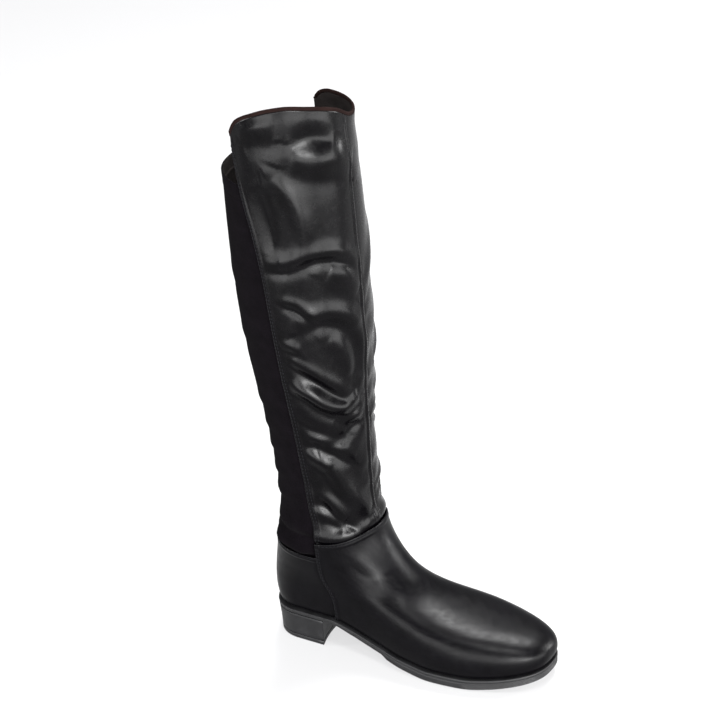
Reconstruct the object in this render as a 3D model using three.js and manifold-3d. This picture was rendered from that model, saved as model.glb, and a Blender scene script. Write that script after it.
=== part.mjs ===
// Knee-high boot for the right foot, empty and standing flat on heel and forefoot.
// Millimetres. +X points to the toe, +Y to the inner (medial) side, +Z up.
// The origin is the centre of the heel's flat bottom, on the floor.
import * as THREE from "three";
import { mergeVertices } from "three/addons/utils/BufferGeometryUtils.js";
import Module from "manifold-3d";

const wasm = await Module();
wasm.setup();

// Foot sizes
const footLength = 256;
const ballWidth = 88;
const heelWidth = 60;
const seatHeight = 30;
const ankleHeight = 124;
const ankleDepth = 92;
const ankleWidth = 85;
const ankleBack = 8;
const toeSwing = 7;
// Shaft sizes
const bootHeight = 515;
const calfDepth = 117;
const calfWidth = 112;
const shinLean = -6;
const fabricTop = 441;
const collarRise = 38;
// Upper's edges and seams
const counterTop = 95;
const vampTopFront = 119;
const vampTopSide = 111;
const vampTopZip = 105;
const lap = 8;
const hemDepth = 5;
const hemStep = 0.5;
const seamHalf = 1.8;
const seamStep = 0.8;
// Walls and clearance
const upperWall = 1.8;
const vampStep = 0.6;
const leatherWall = 1.4;
const fabricWall = 1.2;
const bindingWall = 2.6;
const bindingHeight = 2.6;
const gap = 0.3;
// Sole and heel
const soleMargin = 3.2;
const forefootEdge = 10;
const bandEdge = 4;
const waistEdge = 6;
const toeSpring = 8;
const heelLength = 57;
const heelTaper = 1.6;
const breastHollow = 5;
const liftThickness = 4;
const grooveDepth = 0.9;
const ribDepth = 0.5;
const insoleThickness = 2;
// Zip
const zipSlot = 7;
const zipBehind = 9;
const zipBottom = 38;
const zipForward = 24;
const tapeWidth = 17;
const tapeWall = 0.8;
const chainWidth = 4.4;
const sliderLength = 12;
const sliderWidth = 9;
const sliderPlate = 2.2;
const sliderDrop = 9;
const bailWidth = 2;
const bailWall = 1.2;
const pullLength = 25;
const pullWidth = 7;
const pullThickness = 1.4;
const pullBar = 1.6;
const playGap = 0.5;

const black = { color: 0x17171a };
const finishes = {
  rubber: { ...black, roughness: 0.75, metalness: 0 },
  heel: { ...black, roughness: 0.55, metalness: 0 },
  leather: { color: 0x141416, roughness: 0.4, metalness: 0 },
  glossLeather: { color: 0x0f0f12, roughness: 0.28, metalness: 0 },
  fabric: { color: 0x1b1b1d, roughness: 0.95, metalness: 0 },
  lining: { color: 0x3a3632, roughness: 0.9, metalness: 0 },
  zipTape: { color: 0x121214, roughness: 0.85, metalness: 0 },
  metal: { color: 0x55565c, roughness: 0.35, metalness: 1 },
};

const heelCentre = heelLength / 2;
const leatherFace = -(upperWall + gap);
const leatherBack = leatherFace - leatherWall;
const fabricFace = leatherBack - gap;
const fabricBack = fabricFace - fabricWall;

// Smooth curve through the rows of a table, with no overshoot: a flat stretch stays flat.
function follow(rows, column, at) {
  const last = rows.length - 1;
  const key = Object.keys(rows[0])[0];
  if (at <= rows[0][key]) return rows[0][column];
  if (at >= rows[last][key]) return rows[last][column];
  let i = 0;
  while (rows[i + 1][key] < at) i++;
  const slope = (k) => (rows[k + 1][column] - rows[k][column]) / (rows[k + 1][key] - rows[k][key]);
  const tangent = (k) => {
    if (k === 0) return slope(0);
    if (k === last) return slope(last - 1);
    const a = slope(k - 1);
    const b = slope(k);
    return a * b <= 0 ? 0 : (2 * a * b) / (a + b);
  };
  const step = rows[i + 1][key] - rows[i][key];
  const t = (at - rows[i][key]) / step;
  const y0 = rows[i][column];
  const y1 = rows[i + 1][column];
  const blend = t * t * (3 - 2 * t);
  return (
    y0 + (y1 - y0) * blend + step * (t * (1 - t) * (1 - t) * tangent(i) - t * t * (1 - t) * tangent(i + 1))
  );
}

const mix = THREE.MathUtils.lerp;
const smooth = THREE.MathUtils.smoothstep;

// Height of the sole's top: at = share of the foot length; drop and spring = shares of the fall
// from heel seat to ball, and of the toe spring.
const soleLine = [
  { at: 0.0, drop: 0, spring: 0 },
  { at: 0.245, drop: 0, spring: 0 },
  { at: 0.33, drop: 0.2, spring: 0 },
  { at: 0.43, drop: 0.56, spring: 0 },
  { at: 0.54, drop: 0.88, spring: 0 },
  { at: 0.64, drop: 1, spring: 0 },
  { at: 0.75, drop: 1, spring: 0 },
  { at: 0.84, drop: 1, spring: 0.2 },
  { at: 0.92, drop: 1, spring: 0.55 },
  { at: 1.0, drop: 1, spring: 1 },
];
// Thickness of the sole's edge: band, waist and forefoot are shares of the three named edges.
const soleEdge = [
  { at: 0.0, band: 1, waist: 0, forefoot: 0 },
  { at: 0.25, band: 1, waist: 0, forefoot: 0 },
  { at: 0.34, band: 0.2, waist: 0.8, forefoot: 0 },
  { at: 0.455, band: 0, waist: 1, forefoot: 0 },
  { at: 0.47, band: 0, waist: 0.25, forefoot: 0.7 },
  { at: 0.56, band: 0, waist: 0, forefoot: 0.97 },
  { at: 0.63, band: 0, waist: 0, forefoot: 1 },
  { at: 0.76, band: 0, waist: 0, forefoot: 1 },
  { at: 1.0, band: 0, waist: 0, forefoot: 0.86 },
];
// Half widths of the foot ahead of the heel, as shares of the ball width.
const footOutline = [
  { at: 0.1, lateral: 0.341, medial: 0.341 },
  { at: 0.27, lateral: 0.352, medial: 0.312 },
  { at: 0.4, lateral: 0.388, medial: 0.306 },
  { at: 0.535, lateral: 0.472, medial: 0.4 },
  { at: 0.67, lateral: 0.56, medial: 0.53 },
  { at: 0.8, lateral: 0.6, medial: 0.6 },
  { at: 1.0, lateral: 0.6, medial: 0.61 },
];
// Rings of the foot, from the feather edge up to the ankle. Each row holds:
// back, backUp, front, frontUp, widest, swell, outline, sole, toe.
// back, front and widest are shares of the foot length; backUp and frontUp of the rise to the ankle.
// swell: 0 = heel width, 1 = ankle width. outline and sole: how far the ring follows each table.
// toe: how square the ring's front is.
const footRings = [
  [0.013, 0.0, 0.988, 0.0, 0.117, -0.1, 1, 1, 2.7],
  [0.003, 0.065, 1.0, 0.065, 0.119, 0.02, 1, 0.97, 2.65],
  [-0.002, 0.14, 0.993, 0.145, 0.122, 0.08, 0.99, 0.9, 2.6],
  [-0.003, 0.215, 0.955, 0.215, 0.128, 0.12, 0.97, 0.78, 2.5],
  [-0.002, 0.29, 0.885, 0.268, 0.135, 0.17, 0.93, 0.64, 2.4],
  [0.001, 0.365, 0.795, 0.305, 0.143, 0.23, 0.88, 0.5, 2.3],
  [0.005, 0.44, 0.695, 0.345, 0.152, 0.31, 0.8, 0.37, 2.25],
  [0.01, 0.515, 0.605, 0.4, 0.162, 0.41, 0.68, 0.26, 2.2],
  [0.015, 0.59, 0.537, 0.475, 0.172, 0.53, 0.53, 0.16, 2.15],
  [0.021, 0.675, 0.482, 0.58, 0.183, 0.67, 0.36, 0.08, 2.1],
  [0.026, 0.77, 0.437, 0.71, 0.193, 0.81, 0.2, 0.03, 2.1],
  [0.03, 0.88, 0.405, 0.855, 0.202, 0.93, 0.07, 0, 2.1],
];
// Rings of the shaft: up = share of its height, swell: 0 = ankle, 1 = calf.
const shaftRings = [
  { up: 0.0, swell: 0, lean: 0 },
  { up: 0.05, swell: -0.05, lean: 0.3 },
  { up: 0.12, swell: 0.0, lean: 0.45 },
  { up: 0.21, swell: 0.2, lean: 0.35 },
  { up: 0.31, swell: 0.5, lean: 0.15 },
  { up: 0.42, swell: 0.78, lean: 0 },
  { up: 0.54, swell: 0.95, lean: 0 },
  { up: 0.66, swell: 1.0, lean: 0.1 },
  { up: 0.78, swell: 0.98, lean: 0.35 },
  { up: 0.89, swell: 0.93, lean: 0.65 },
  { up: 1.0, swell: 0.9, lean: 1 },
];

const soleTop = (at) =>
  seatHeight -
  follow(soleLine, "drop", at) * (seatHeight - forefootEdge - gap) +
  follow(soleLine, "spring", at) * toeSpring;
const edgeThickness = (at) =>
  follow(soleEdge, "band", at) * bandEdge +
  follow(soleEdge, "waist", at) * waistEdge +
  follow(soleEdge, "forefoot", at) * forefootEdge;

// The same few sizes describe every ring, so they can be blended between rings.
function footRing([back, backUp, front, frontUp, widest, swell, outline, sole, toe]) {
  return {
    back: back * footLength,
    backZ: mix(seatHeight, ankleHeight, backUp),
    front: front * footLength,
    frontZ: mix(soleTop(1), ankleHeight, frontUp),
    widest: widest * footLength,
    half: mix(heelWidth, ankleWidth, swell) / 2,
    outline,
    sole,
    toe,
  };
}

function shaftRing(r) {
  const depth = mix(ankleDepth, calfDepth, r.swell);
  const front = ankleBack + ankleDepth + shinLean * r.lean;
  const z = mix(ankleHeight, bootHeight + 10, r.up);
  return {
    back: front - depth,
    backZ: z,
    front,
    frontZ: z,
    widest: front - depth / 2,
    half: mix(ankleWidth, calfWidth, r.swell) / 2,
    outline: 0,
    sole: 0,
    toe: 2.1,
  };
}

const rings = [...footRings.map(footRing), ...shaftRings.map(shaftRing)];
const topLevel = rings.length - 1;
const heelRound = 2.15;

// Catmull-Rom blend of one size between rings.
function ringSize(name, level) {
  const i = Math.min(Math.max(Math.floor(level), 0), topLevel - 1);
  const t = level - i;
  const p = (k) => rings[Math.min(Math.max(k, 0), topLevel)][name];
  const [a, b, c, d] = [p(i - 1), p(i), p(i + 1), p(i + 2)];
  return b + (t / 2) * (c - a + t * (2 * a - 5 * b + 4 * c - d + t * (3 * (b - c) + d - a)));
}

const closing = (v, power) => Math.pow(Math.max(0, 1 - Math.pow(v, power)), 1 / power);

const ringNames = Object.keys(rings[0]);
const knownRings = new Map();
function ringAt(level) {
  if (!knownRings.has(level))
    knownRings.set(level, Object.fromEntries(ringNames.map((name) => [name, ringSize(name, level)])));
  return knownRings.get(level);
}

// A point of the last's outer form. turn runs 0 heel back, 0.25 lateral, 0.5 front, 0.75 medial, 1.
function formPoint(turn, level) {
  const size = ringAt(level);
  const wrapped = ((turn % 1) + 1) % 1;
  const side = wrapped <= 0.5 ? -1 : 1;
  const along = (wrapped <= 0.5 ? wrapped : 1 - wrapped) * 4;
  let x;
  let y;
  if (along <= 1) {
    const v = Math.cos((along * Math.PI) / 2);
    x = size.widest - (size.widest - size.back) * v;
    y = size.half * closing(v, heelRound);
  } else {
    const v = Math.sin(((along - 1) * Math.PI) / 2);
    x = size.widest + (size.front - size.widest) * v;
    const column = side < 0 ? "lateral" : "medial";
    const share =
      follow(footOutline, column, x / footLength) / follow(footOutline, column, size.widest / footLength);
    y = size.half * mix(1, share, size.outline) * closing(v, size.toe);
  }
  const reach = (x - size.back) / (size.front - size.back);
  const straight = mix(soleTop(0), soleTop(1), reach);
  const z = mix(size.backZ, size.frontZ, reach) + size.sole * (soleTop(x / footLength) - straight);
  const swing = toeSwing * smooth(x, 0.35 * footLength, footLength);
  return new THREE.Vector3(x - heelCentre, side * y + swing, z);
}

// Outward normal of the form.
function formNormal(turn, level) {
  const d = 0.002;
  const low = Math.max(0, level - 0.05);
  const high = Math.min(topLevel, level + 0.05);
  const across = formPoint(turn + d, level).sub(formPoint(turn - d, level));
  const up = formPoint(turn, high).sub(formPoint(turn, low));
  return across.cross(up).normalize();
}

const surface = (turn, level, offset) =>
  formPoint(turn, level).addScaledVector(formNormal(turn, level), offset);

// The level at which a column of the form reaches a height.
function levelAt(turn, z) {
  let low = 0;
  let high = topLevel;
  for (let i = 0; i < 22; i++) {
    const middle = (low + high) / 2;
    if (formPoint(turn, middle).z < z) low = middle;
    else high = middle;
  }
  return (low + high) / 2;
}

// Millimetres along the ring, as a share of a turn.
function turnOf(distance, turn, level) {
  const d = 0.002;
  return (distance * 2 * d) / formPoint(turn + d, level).distanceTo(formPoint(turn - d, level));
}

const range = (from, to, count) => Array.from({ length: count + 1 }, (_, i) => mix(from, to, i / count));
// Shares from 0 to 1 that lie closer together near 0, where the ankle curves.
const closerRows = (count) => range(0, 1, count).map((t) => t * (0.3 + 0.7 * t));

// Closed solid from two grids of points that share their edges.
function shellGeometry(outer, inner, ring = false) {
  const columns = outer.length;
  const rows = outer[0].length;
  const positions = [...outer, ...inner].flat().flatMap((p) => [p.x, p.y, p.z]);
  const out = (i, j) => (i % columns) * rows + j;
  const inn = (i, j) => columns * rows + (i % columns) * rows + j;
  const index = [];
  const quad = (a, b, c, d) => index.push(a, b, c, a, c, d);
  const spans = ring ? columns : columns - 1;
  for (let i = 0; i < spans; i++) {
    for (let j = 0; j < rows - 1; j++) {
      quad(out(i, j), out(i + 1, j), out(i + 1, j + 1), out(i, j + 1));
      quad(inn(i, j), inn(i, j + 1), inn(i + 1, j + 1), inn(i + 1, j));
    }
    quad(out(i, 0), inn(i, 0), inn(i + 1, 0), out(i + 1, 0));
    quad(out(i, rows - 1), out(i + 1, rows - 1), inn(i + 1, rows - 1), inn(i, rows - 1));
  }
  if (!ring)
    for (let j = 0; j < rows - 1; j++) {
      quad(out(0, j), out(0, j + 1), inn(0, j + 1), inn(0, j));
      const e = columns - 1;
      quad(out(e, j), inn(e, j), inn(e, j + 1), out(e, j + 1));
    }
  const geometry = new THREE.BufferGeometry();
  geometry.setAttribute("position", new THREE.Float32BufferAttribute(positions, 3));
  geometry.setIndex(index);
  return geometry;
}

// Solid from stacked closed loops of points, bottom loop first, with flat strips across both ends.
function stackGeometry(loops) {
  const count = loops[0].length;
  const half = count / 2;
  const positions = loops.flat().flatMap((p) => [p.x, p.y, p.z]);
  const at = (j, i) => j * count + (i % count);
  const index = [];
  const quad = (a, b, c, d) => index.push(a, b, c, a, c, d);
  for (let j = 0; j < loops.length - 1; j++)
    for (let i = 0; i < count; i++) quad(at(j, i), at(j, i + 1), at(j + 1, i + 1), at(j + 1, i));
  const top = loops.length - 1;
  for (let i = 0; i < half; i++) {
    const facing = [count - i, count - i - 1];
    if (i > 0) index.push(at(0, i), at(0, facing[0]), at(0, i + 1));
    if (i < half - 1) index.push(at(0, i + 1), at(0, facing[0]), at(0, facing[1]));
    if (i > 0) index.push(at(top, i), at(top, i + 1), at(top, facing[0]));
    if (i < half - 1) index.push(at(top, i + 1), at(top, facing[1]), at(top, facing[0]));
  }
  const geometry = new THREE.BufferGeometry();
  geometry.setAttribute("position", new THREE.Float32BufferAttribute(positions, 3));
  geometry.setIndex(index);
  return geometry;
}

function solidOf(geometry) {
  const bare = new THREE.BufferGeometry();
  bare.setAttribute("position", geometry.getAttribute("position"));
  bare.setIndex(geometry.index);
  const merged = mergeVertices(bare, 1e-4);
  return new wasm.Manifold(
    new wasm.Mesh({
      numProp: 3,
      vertProperties: merged.attributes.position.array,
      triVerts: new Uint32Array(merged.index.array),
    }),
  );
}

function geometryOf(solid) {
  const mesh = solid.getMesh();
  const geometry = new THREE.BufferGeometry();
  geometry.setAttribute("position", new THREE.BufferAttribute(mesh.vertProperties, 3));
  geometry.setIndex(new THREE.BufferAttribute(mesh.triVerts, 1));
  return geometry;
}

const join = (...parts) => geometryOf(parts.map(solidOf).reduce((a, b) => a.add(b)));
const cut = (part, ...tools) =>
  geometryOf(tools.map(solidOf).reduce((a, b) => a.subtract(b), solidOf(part)));

const boot = new THREE.Group();
function piece(name, geometry, finish, parent = boot) {
  geometry.computeVertexNormals();
  const mesh = new THREE.Mesh(geometry, new THREE.MeshStandardMaterial(finishes[finish]));
  mesh.name = name;
  parent.add(mesh);
  return mesh;
}

// The turn on the lateral half at which a ring reaches x. The medial half mirrors it.
function turnAt(level, x) {
  let low = 0;
  let high = 0.5;
  for (let i = 0; i < 22; i++) {
    const middle = (low + high) / 2;
    if (formPoint(middle, level).x < x(middle)) low = middle;
    else high = middle;
  }
  return (low + high) / 2;
}

// The lateral seam between leather and fabric: offset = share of half the shaft's depth, ahead of
// the shaft's middle (+) or behind it (-), from the vamp's edge up to the collar.
const lateralSeam = [
  { up: 0.0, offset: 0.17 },
  { up: 0.1, offset: 0.07 },
  { up: 0.35, offset: 0.03 },
  { up: 0.58, offset: -0.02 },
  { up: 0.7, offset: -0.12 },
  { up: 0.81, offset: -0.28 },
  { up: 0.9, offset: -0.36 },
  { up: 1.0, offset: -0.4 },
];
const sideSeam = 0.25 + Math.asin(lateralSeam[0].offset) / (2 * Math.PI);
// The collar's line round the leather: high at the shin's lateral side, lower at the medial side,
// with a rounded corner at either end. rise = share of the collar's rise.
const collarLine = [
  { turn: 0.185, rise: 0.13 },
  { turn: 0.2, rise: 0.4 },
  { turn: 0.218, rise: 0.6 },
  { turn: 0.264, rise: 0.82 },
  { turn: 0.306, rise: 0.95 },
  { turn: 0.346, rise: 1 },
  { turn: 0.401, rise: 0.93 },
  { turn: 0.471, rise: 0.72 },
  { turn: 0.527, rise: 0.4 },
  { turn: 0.58, rise: 0.3 },
  { turn: 0.72, rise: 0.27 },
  { turn: 0.745, rise: 0.2 },
  { turn: 0.76, rise: 0.06 },
  { turn: 0.785, rise: 0 },
];
const collarTop = bootHeight - bindingHeight - gap;
const collarHeight = (turn) => collarTop - collarRise * (1 - follow(collarLine, "rise", turn));
const ankleMiddle = ankleBack + ankleDepth / 2 - heelCentre;

function lateralTurn(level) {
  const up = (ringSize("backZ", level) - vampTopSide) / (bootHeight - vampTopSide);
  return 0.25 + Math.asin(follow(lateralSeam, "offset", up)) / (2 * Math.PI);
}

// The zip's line on the medial side: straight down behind the shaft's middle, then slanting
// forwards over the foot.
function zipTurn(level) {
  const x = (turn) => {
    const z = formPoint(1 - turn, level).z;
    const middle = ringSize("widest", level) - heelCentre;
    const down = smooth(vampTopZip + lap - z, 0, vampTopZip + lap - zipBottom);
    const slant = (vampTopZip + lap - z) / (vampTopZip + lap - zipBottom);
    return mix(middle, ankleMiddle, smooth(down, 0, 0.1)) - zipBehind + zipForward * Math.max(0, slant);
  };
  return 1 - turnAt(level, x);
}

// An edge beside the zip: side -1 ahead of it, +1 behind it.
function zipEdge(level, side) {
  const turn = zipTurn(level);
  return turn + turnOf((side * zipSlot) / 2, turn, level);
}

const zipFloor = levelAt(zipTurn(1), zipBottom);
const medialSide = 0.78;
const zipAtAnkle = zipTurn(levelAt(medialSide, vampTopZip));

// Upper: one hollow wall round the foot, the vamp a step thicker than the counter, with the side
// seam raised between them and a folded hem round the top.
function upperTop(turn) {
  if (turn < sideSeam || turn > zipAtAnkle) return counterTop;
  if (turn <= 0.5) return mix(vampTopSide, vampTopFront, smooth(turn, sideSeam, 0.46));
  return mix(vampTopFront, vampTopZip, smooth(turn, 0.54, zipAtAnkle));
}

function upperTurns() {
  const lip = 0.001;
  const ridge = turnOf(2 * seamHalf, sideSeam, 5);
  return [
    ...range(0, sideSeam - 2 * ridge, 10),
    sideSeam - lip,
    sideSeam,
    sideSeam + ridge,
    sideSeam + ridge + lip,
    ...range(sideSeam + 3 * ridge, 0.33, 3),
    ...range(0.33, 0.5, 9).slice(1),
    ...range(0.5, 0.68, 9).slice(1),
    ...range(0.68, 0.76, 7).slice(1),
    ...range(0.76, 1, 9).slice(1, -1),
  ];
}

function makeUpper() {
  const ridge = turnOf(2 * seamHalf, sideSeam, 5);
  const hem = hemDepth / (counterTop - seatHeight);
  const rows = [...range(0, 1 - hem - 0.012, 10), 1 - hem, 1];
  const grid = (inside) =>
    upperTurns().map((turn) => {
      const top = levelAt(turn, upperTop(turn));
      const isVamp = turn >= sideSeam && turn <= zipAtAnkle;
      const onSeam = isVamp && turn <= sideSeam + ridge;
      return rows.map((row) => {
        const folded = row >= 1 - hem ? hemStep : 0;
        const face = onSeam ? seamStep + hemStep : (isVamp ? vampStep : 0) + folded;
        const point = surface(turn, top * row, inside ? -upperWall : face);
        if (row === 0) point.z = formPoint(turn, 0).z + gap / 2;
        return point;
      });
    });
  const wall = shellGeometry(grid(false), grid(true), true);
  const pastTop = 14;
  const levels = range(zipFloor, pastTop, 18);
  const reach = 3 * upperWall;
  const slot = (offset) =>
    [-1, 1].map((side) => levels.map((level) => surface(zipEdge(level, side), level, offset)));
  piece("upper", cut(wall, shellGeometry(slot(reach), slot(-reach))), "leather");
}

// Shaft: the leather panel from the lateral seam round the shin to the zip, tucked into the vamp.
// Its columns are shares from seam to zip: the folded edge, and both sides of the seam down the shin.
const calfLevel = 18;
const shin = 0.5;
const shinHalf = turnOf(seamHalf, shin, calfLevel);
const shinFlank = shinHalf * 1.35;
const foldedEdge = 0.03;
const shaftColumns = [
  0,
  foldedEdge,
  foldedEdge + 0.004,
  ...range(foldedEdge + 0.04, shin - 3 * shinFlank, 9),
  shin - shinFlank,
  shin - shinHalf,
  shin + shinHalf,
  shin + shinFlank,
  ...range(shin + 3 * shinFlank, 1, 10),
];

function shaftTurn(share, level) {
  if (share <= shin) return mix(lateralTurn(level), shin, share * 2);
  return mix(shin, zipEdge(level, -1), share * 2 - 1);
}

function shaftGrid(rows, heights, offset) {
  return shaftColumns.map((share) => {
    const topTurn = shaftTurn(share, topLevel - 1);
    const [low, high] = heights(topTurn, share);
    return rows.map((row) => {
      const z = mix(low, high, row);
      const level = levelAt(shaftTurn(share, levelAt(topTurn, z)), z);
      return surface(shaftTurn(share, level), level, offset(share, z - low));
    });
  });
}

function makeShaft() {
  const heights = (turn) => [
    upperTop(THREE.MathUtils.clamp(turn, sideSeam, zipAtAnkle - 0.001)) - lap,
    collarHeight(turn),
  ];
  const raised = (share, rise) => {
    const onSeam = Math.abs(share - shin) < (shinHalf + shinFlank) / 2;
    const step = share <= foldedEdge ? hemStep : 0;
    return (onSeam ? seamStep : step) * smooth(rise, lap, 2 * lap);
  };
  const rows = closerRows(20);
  const outer = shaftGrid(rows, heights, (share, rise) => leatherFace + raised(share, rise));
  const inner = shaftGrid(rows, heights, () => leatherBack);
  piece("shaft", shellGeometry(outer, inner), "glossLeather");
}

function makeBinding() {
  const proud = (bindingWall - leatherWall) / 2;
  const heights = (turn) => [collarHeight(turn) + gap, collarHeight(turn) + gap + bindingHeight];
  const rows = [0, 1];
  const outer = shaftGrid(rows, heights, () => leatherFace + proud);
  const inner = shaftGrid(rows, heights, () => leatherBack - proud);
  piece("collar_binding", shellGeometry(outer, inner), "fabric");
}

// Stretch panel: from behind the zip round the calf, and on under the leather's edge.
function makeStretchPanel() {
  const edge = (level) => {
    const turn = lateralTurn(level);
    return 1 + turn + turnOf(lap - 2, turn, level);
  };
  const medialBack = 0.9;
  const lastRow = 17;
  const grid = (inside) =>
    range(0, 1, 17).map((share) => {
      const turn = (level) => mix(zipEdge(level, 1), edge(level), share);
      const top = fabricTop - 3 * hemDepth * smooth(share, 0.94, 1);
      const hem = top - 2 * hemDepth;
      const rows = closerRows(lastRow).map((row) => mix(counterTop - lap, hem, row));
      return [...rows, hem + 0.6, top].map((z, row) => {
        const level = levelAt(turn(levelAt(medialBack, z)), z);
        const fold = row > lastRow ? gap / 2 : 0;
        return surface(turn(level), level, inside ? fabricBack : fabricFace + fold);
      });
    });
  piece("stretch_panel", shellGeometry(grid(false), grid(true)), "fabric");
}

// Zip: tape behind the edges, with the coil standing up in the slot.
const coilFace = leatherFace - gap;
const footEnds = 6;
const shaftStarts = 8;
const zipOffset = (level, onShaft, onFoot) => mix(onFoot, onShaft, smooth(level, footEnds, shaftStarts));

function makeZip() {
  const top = levelAt(zipTurn(topLevel - 2), fabricTop);
  const levels = range(zipFloor + 0.15, top, 34);
  const side = chainWidth / 2;
  const columns = [
    [-tapeWidth / 2, 0],
    [-side - gap / 2, 0],
    [-side, 1],
    [side, 1],
    [side + gap / 2, 0],
    [tapeWidth / 2, 0],
  ];
  const grid = (inside) =>
    columns.map(([distance, onCoil]) =>
      levels.map((level) => {
        const middle = zipTurn(level);
        const turn = middle + turnOf(distance, middle, level);
        const tape = zipOffset(level, fabricBack - 2 * gap, -upperWall - gap);
        const coil = zipOffset(level, coilFace, -gap);
        return surface(turn, level, inside ? tape - tapeWall : onCoil ? coil : tape);
      }),
    );
  piece("zip_chain", shellGeometry(grid(false), grid(true)), "zipTape");
}

// A flat plate with rounded corners, in its own plane: low end and high end may differ in width.
function plateShape(low, high, lowWidth, highWidth, corner) {
  const shape = new THREE.Shape();
  const [a, b] = [lowWidth / 2, highWidth / 2];
  shape.moveTo(-a + corner, low);
  shape.lineTo(a - corner, low);
  shape.quadraticCurveTo(a, low, mix(a, b, 0.1), low + corner);
  shape.lineTo(mix(b, a, 0.1), high - corner);
  shape.quadraticCurveTo(b, high, b - corner, high);
  shape.lineTo(-b + corner, high);
  shape.quadraticCurveTo(-b, high, -mix(b, a, 0.1), high - corner);
  shape.lineTo(-mix(a, b, 0.1), low + corner);
  shape.quadraticCurveTo(-a, low, -a + corner, low);
  return shape;
}

function extruded(shape, depth) {
  return new THREE.ExtrudeGeometry(shape, { depth, bevelEnabled: false, curveSegments: 5 });
}

// Slider and pull stand on the shaft's surface: x along the ring, y up the zip, z outwards.
const sliderGroup = new THREE.Group();
const bailInner = pullBar / 2 + 2 * playGap;
const bailOuter = bailInner + bailWall;
const barHeight = sliderPlate + pullThickness / 2 + playGap;

function placeSlider() {
  const level = levelAt(zipTurn(topLevel - 2), fabricTop - sliderDrop);
  const turn = zipTurn(level);
  const outwards = formNormal(turn, level);
  const along = new THREE.Vector3(0, 0, 1).cross(outwards).normalize();
  const up = outwards.clone().cross(along);
  sliderGroup.quaternion.setFromRotationMatrix(new THREE.Matrix4().makeBasis(along, up, outwards));
  sliderGroup.position.copy(surface(turn, level, leatherFace + 2 * gap));
  boot.add(sliderGroup);
}

function makeSlider() {
  const half = sliderLength / 2;
  const plate = extruded(plateShape(-half, half, sliderWidth * 0.78, sliderWidth, 1.8), sliderPlate);
  const arch = new THREE.Shape();
  const foot = -sliderPlate / 2;
  const height = barHeight - sliderPlate;
  arch.moveTo(-bailOuter, foot);
  arch.lineTo(-bailOuter, height);
  arch.absarc(0, height, bailOuter, Math.PI, 0, true);
  arch.lineTo(bailOuter, foot);
  arch.lineTo(bailInner, foot);
  arch.lineTo(bailInner, height);
  arch.absarc(0, height, bailInner, 0, Math.PI, false);
  arch.lineTo(-bailInner, foot);
  const bail = extruded(arch, bailWidth);
  bail.translate(0, 0, -bailWidth / 2);
  bail.rotateX(Math.PI / 2);
  bail.rotateZ(Math.PI / 2);
  bail.translate(0, 0, sliderPlate);
  piece("zip_slider", join(plate, bail), "metal", sliderGroup);
}

function makePull() {
  const hinge = new THREE.Group();
  hinge.position.z = barHeight;
  sliderGroup.add(hinge);
  const width = bailWidth + 2 * playGap;
  const outline = plateShape(-pullLength, pullBar / 2, pullWidth, pullWidth * 0.8, 1.5);
  const window = new THREE.Path();
  window.moveTo(-width / 2, -pullBar / 2);
  window.lineTo(-width / 2, -bailOuter - playGap);
  window.lineTo(width / 2, -bailOuter - playGap);
  window.lineTo(width / 2, -pullBar / 2);
  outline.holes.push(window);
  const tab = extruded(outline, pullThickness);
  tab.translate(0, 0, -pullThickness / 2);
  piece("zip_pull", join(tab), "metal", hinge);
}

// The foot's outline at the feather edge, moved outwards in plan.
function outlinePoint(turn, outwards, height) {
  const d = 0.002;
  const point = formPoint(turn, 0);
  const across = formPoint(turn + d, 0).sub(formPoint(turn - d, 0)).setZ(0).normalize();
  point.x += across.y * outwards;
  point.y -= across.x * outwards;
  point.z = height((point.x + heelCentre) / footLength);
  return point;
}

const halfTurns = [
  ...range(0, 0.25, 7),
  ...range(0.25, 0.33, 8).slice(1),
  ...range(0.33, 0.5, 13).slice(1),
];
const wholeTurns = [...halfTurns, ...halfTurns.slice(1, -1).reverse().map((turn) => 1 - turn)];

// Outsole: side profile as rows from bottom to top. up = share of the edge, undercut = share of the
// sole's margin; groove and rib = how much of each named depth the row is set in.
const soleProfile = [
  { up: 0.0, undercut: 0.55, groove: 0, rib: 0 },
  { up: 0.09, undercut: 0.15, groove: 0, rib: 0 },
  { up: 0.15, undercut: 0.08, groove: 0, rib: 1 },
  { up: 0.22, undercut: 0.08, groove: 0, rib: 0 },
  { up: 0.29, undercut: 0.08, groove: 0, rib: 1 },
  { up: 0.36, undercut: 0.08, groove: 0, rib: 0 },
  { up: 0.43, undercut: 0.08, groove: 0, rib: 1 },
  { up: 0.5, undercut: 0.08, groove: 0, rib: 0 },
  { up: 0.6, undercut: 0.08, groove: 0, rib: 0 },
  { up: 0.64, undercut: 0.08, groove: 1, rib: 0 },
  { up: 0.71, undercut: 0.08, groove: 1, rib: 0 },
  { up: 0.76, undercut: 0, groove: 0, rib: 0 },
  { up: 1.0, undercut: 0, groove: 0, rib: 0 },
];
const ribStart = 0.78;

function makeOutsole() {
  const loops = soleProfile.map((row) =>
    wholeTurns.map((turn) => {
      const at = (formPoint(turn, 0).x + heelCentre) / footLength;
      const ribs = row.rib * ribDepth * smooth(at, ribStart, ribStart + 0.06);
      const outwards = soleMargin * (1 - row.undercut) - row.groove * grooveDepth - ribs;
      const height = (place) => soleTop(place) - gap - edgeThickness(place) * (1 - row.up);
      return outlinePoint(turn, outwards, height);
    }),
  );
  piece("outsole", stackGeometry(loops), "rubber");
}

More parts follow.
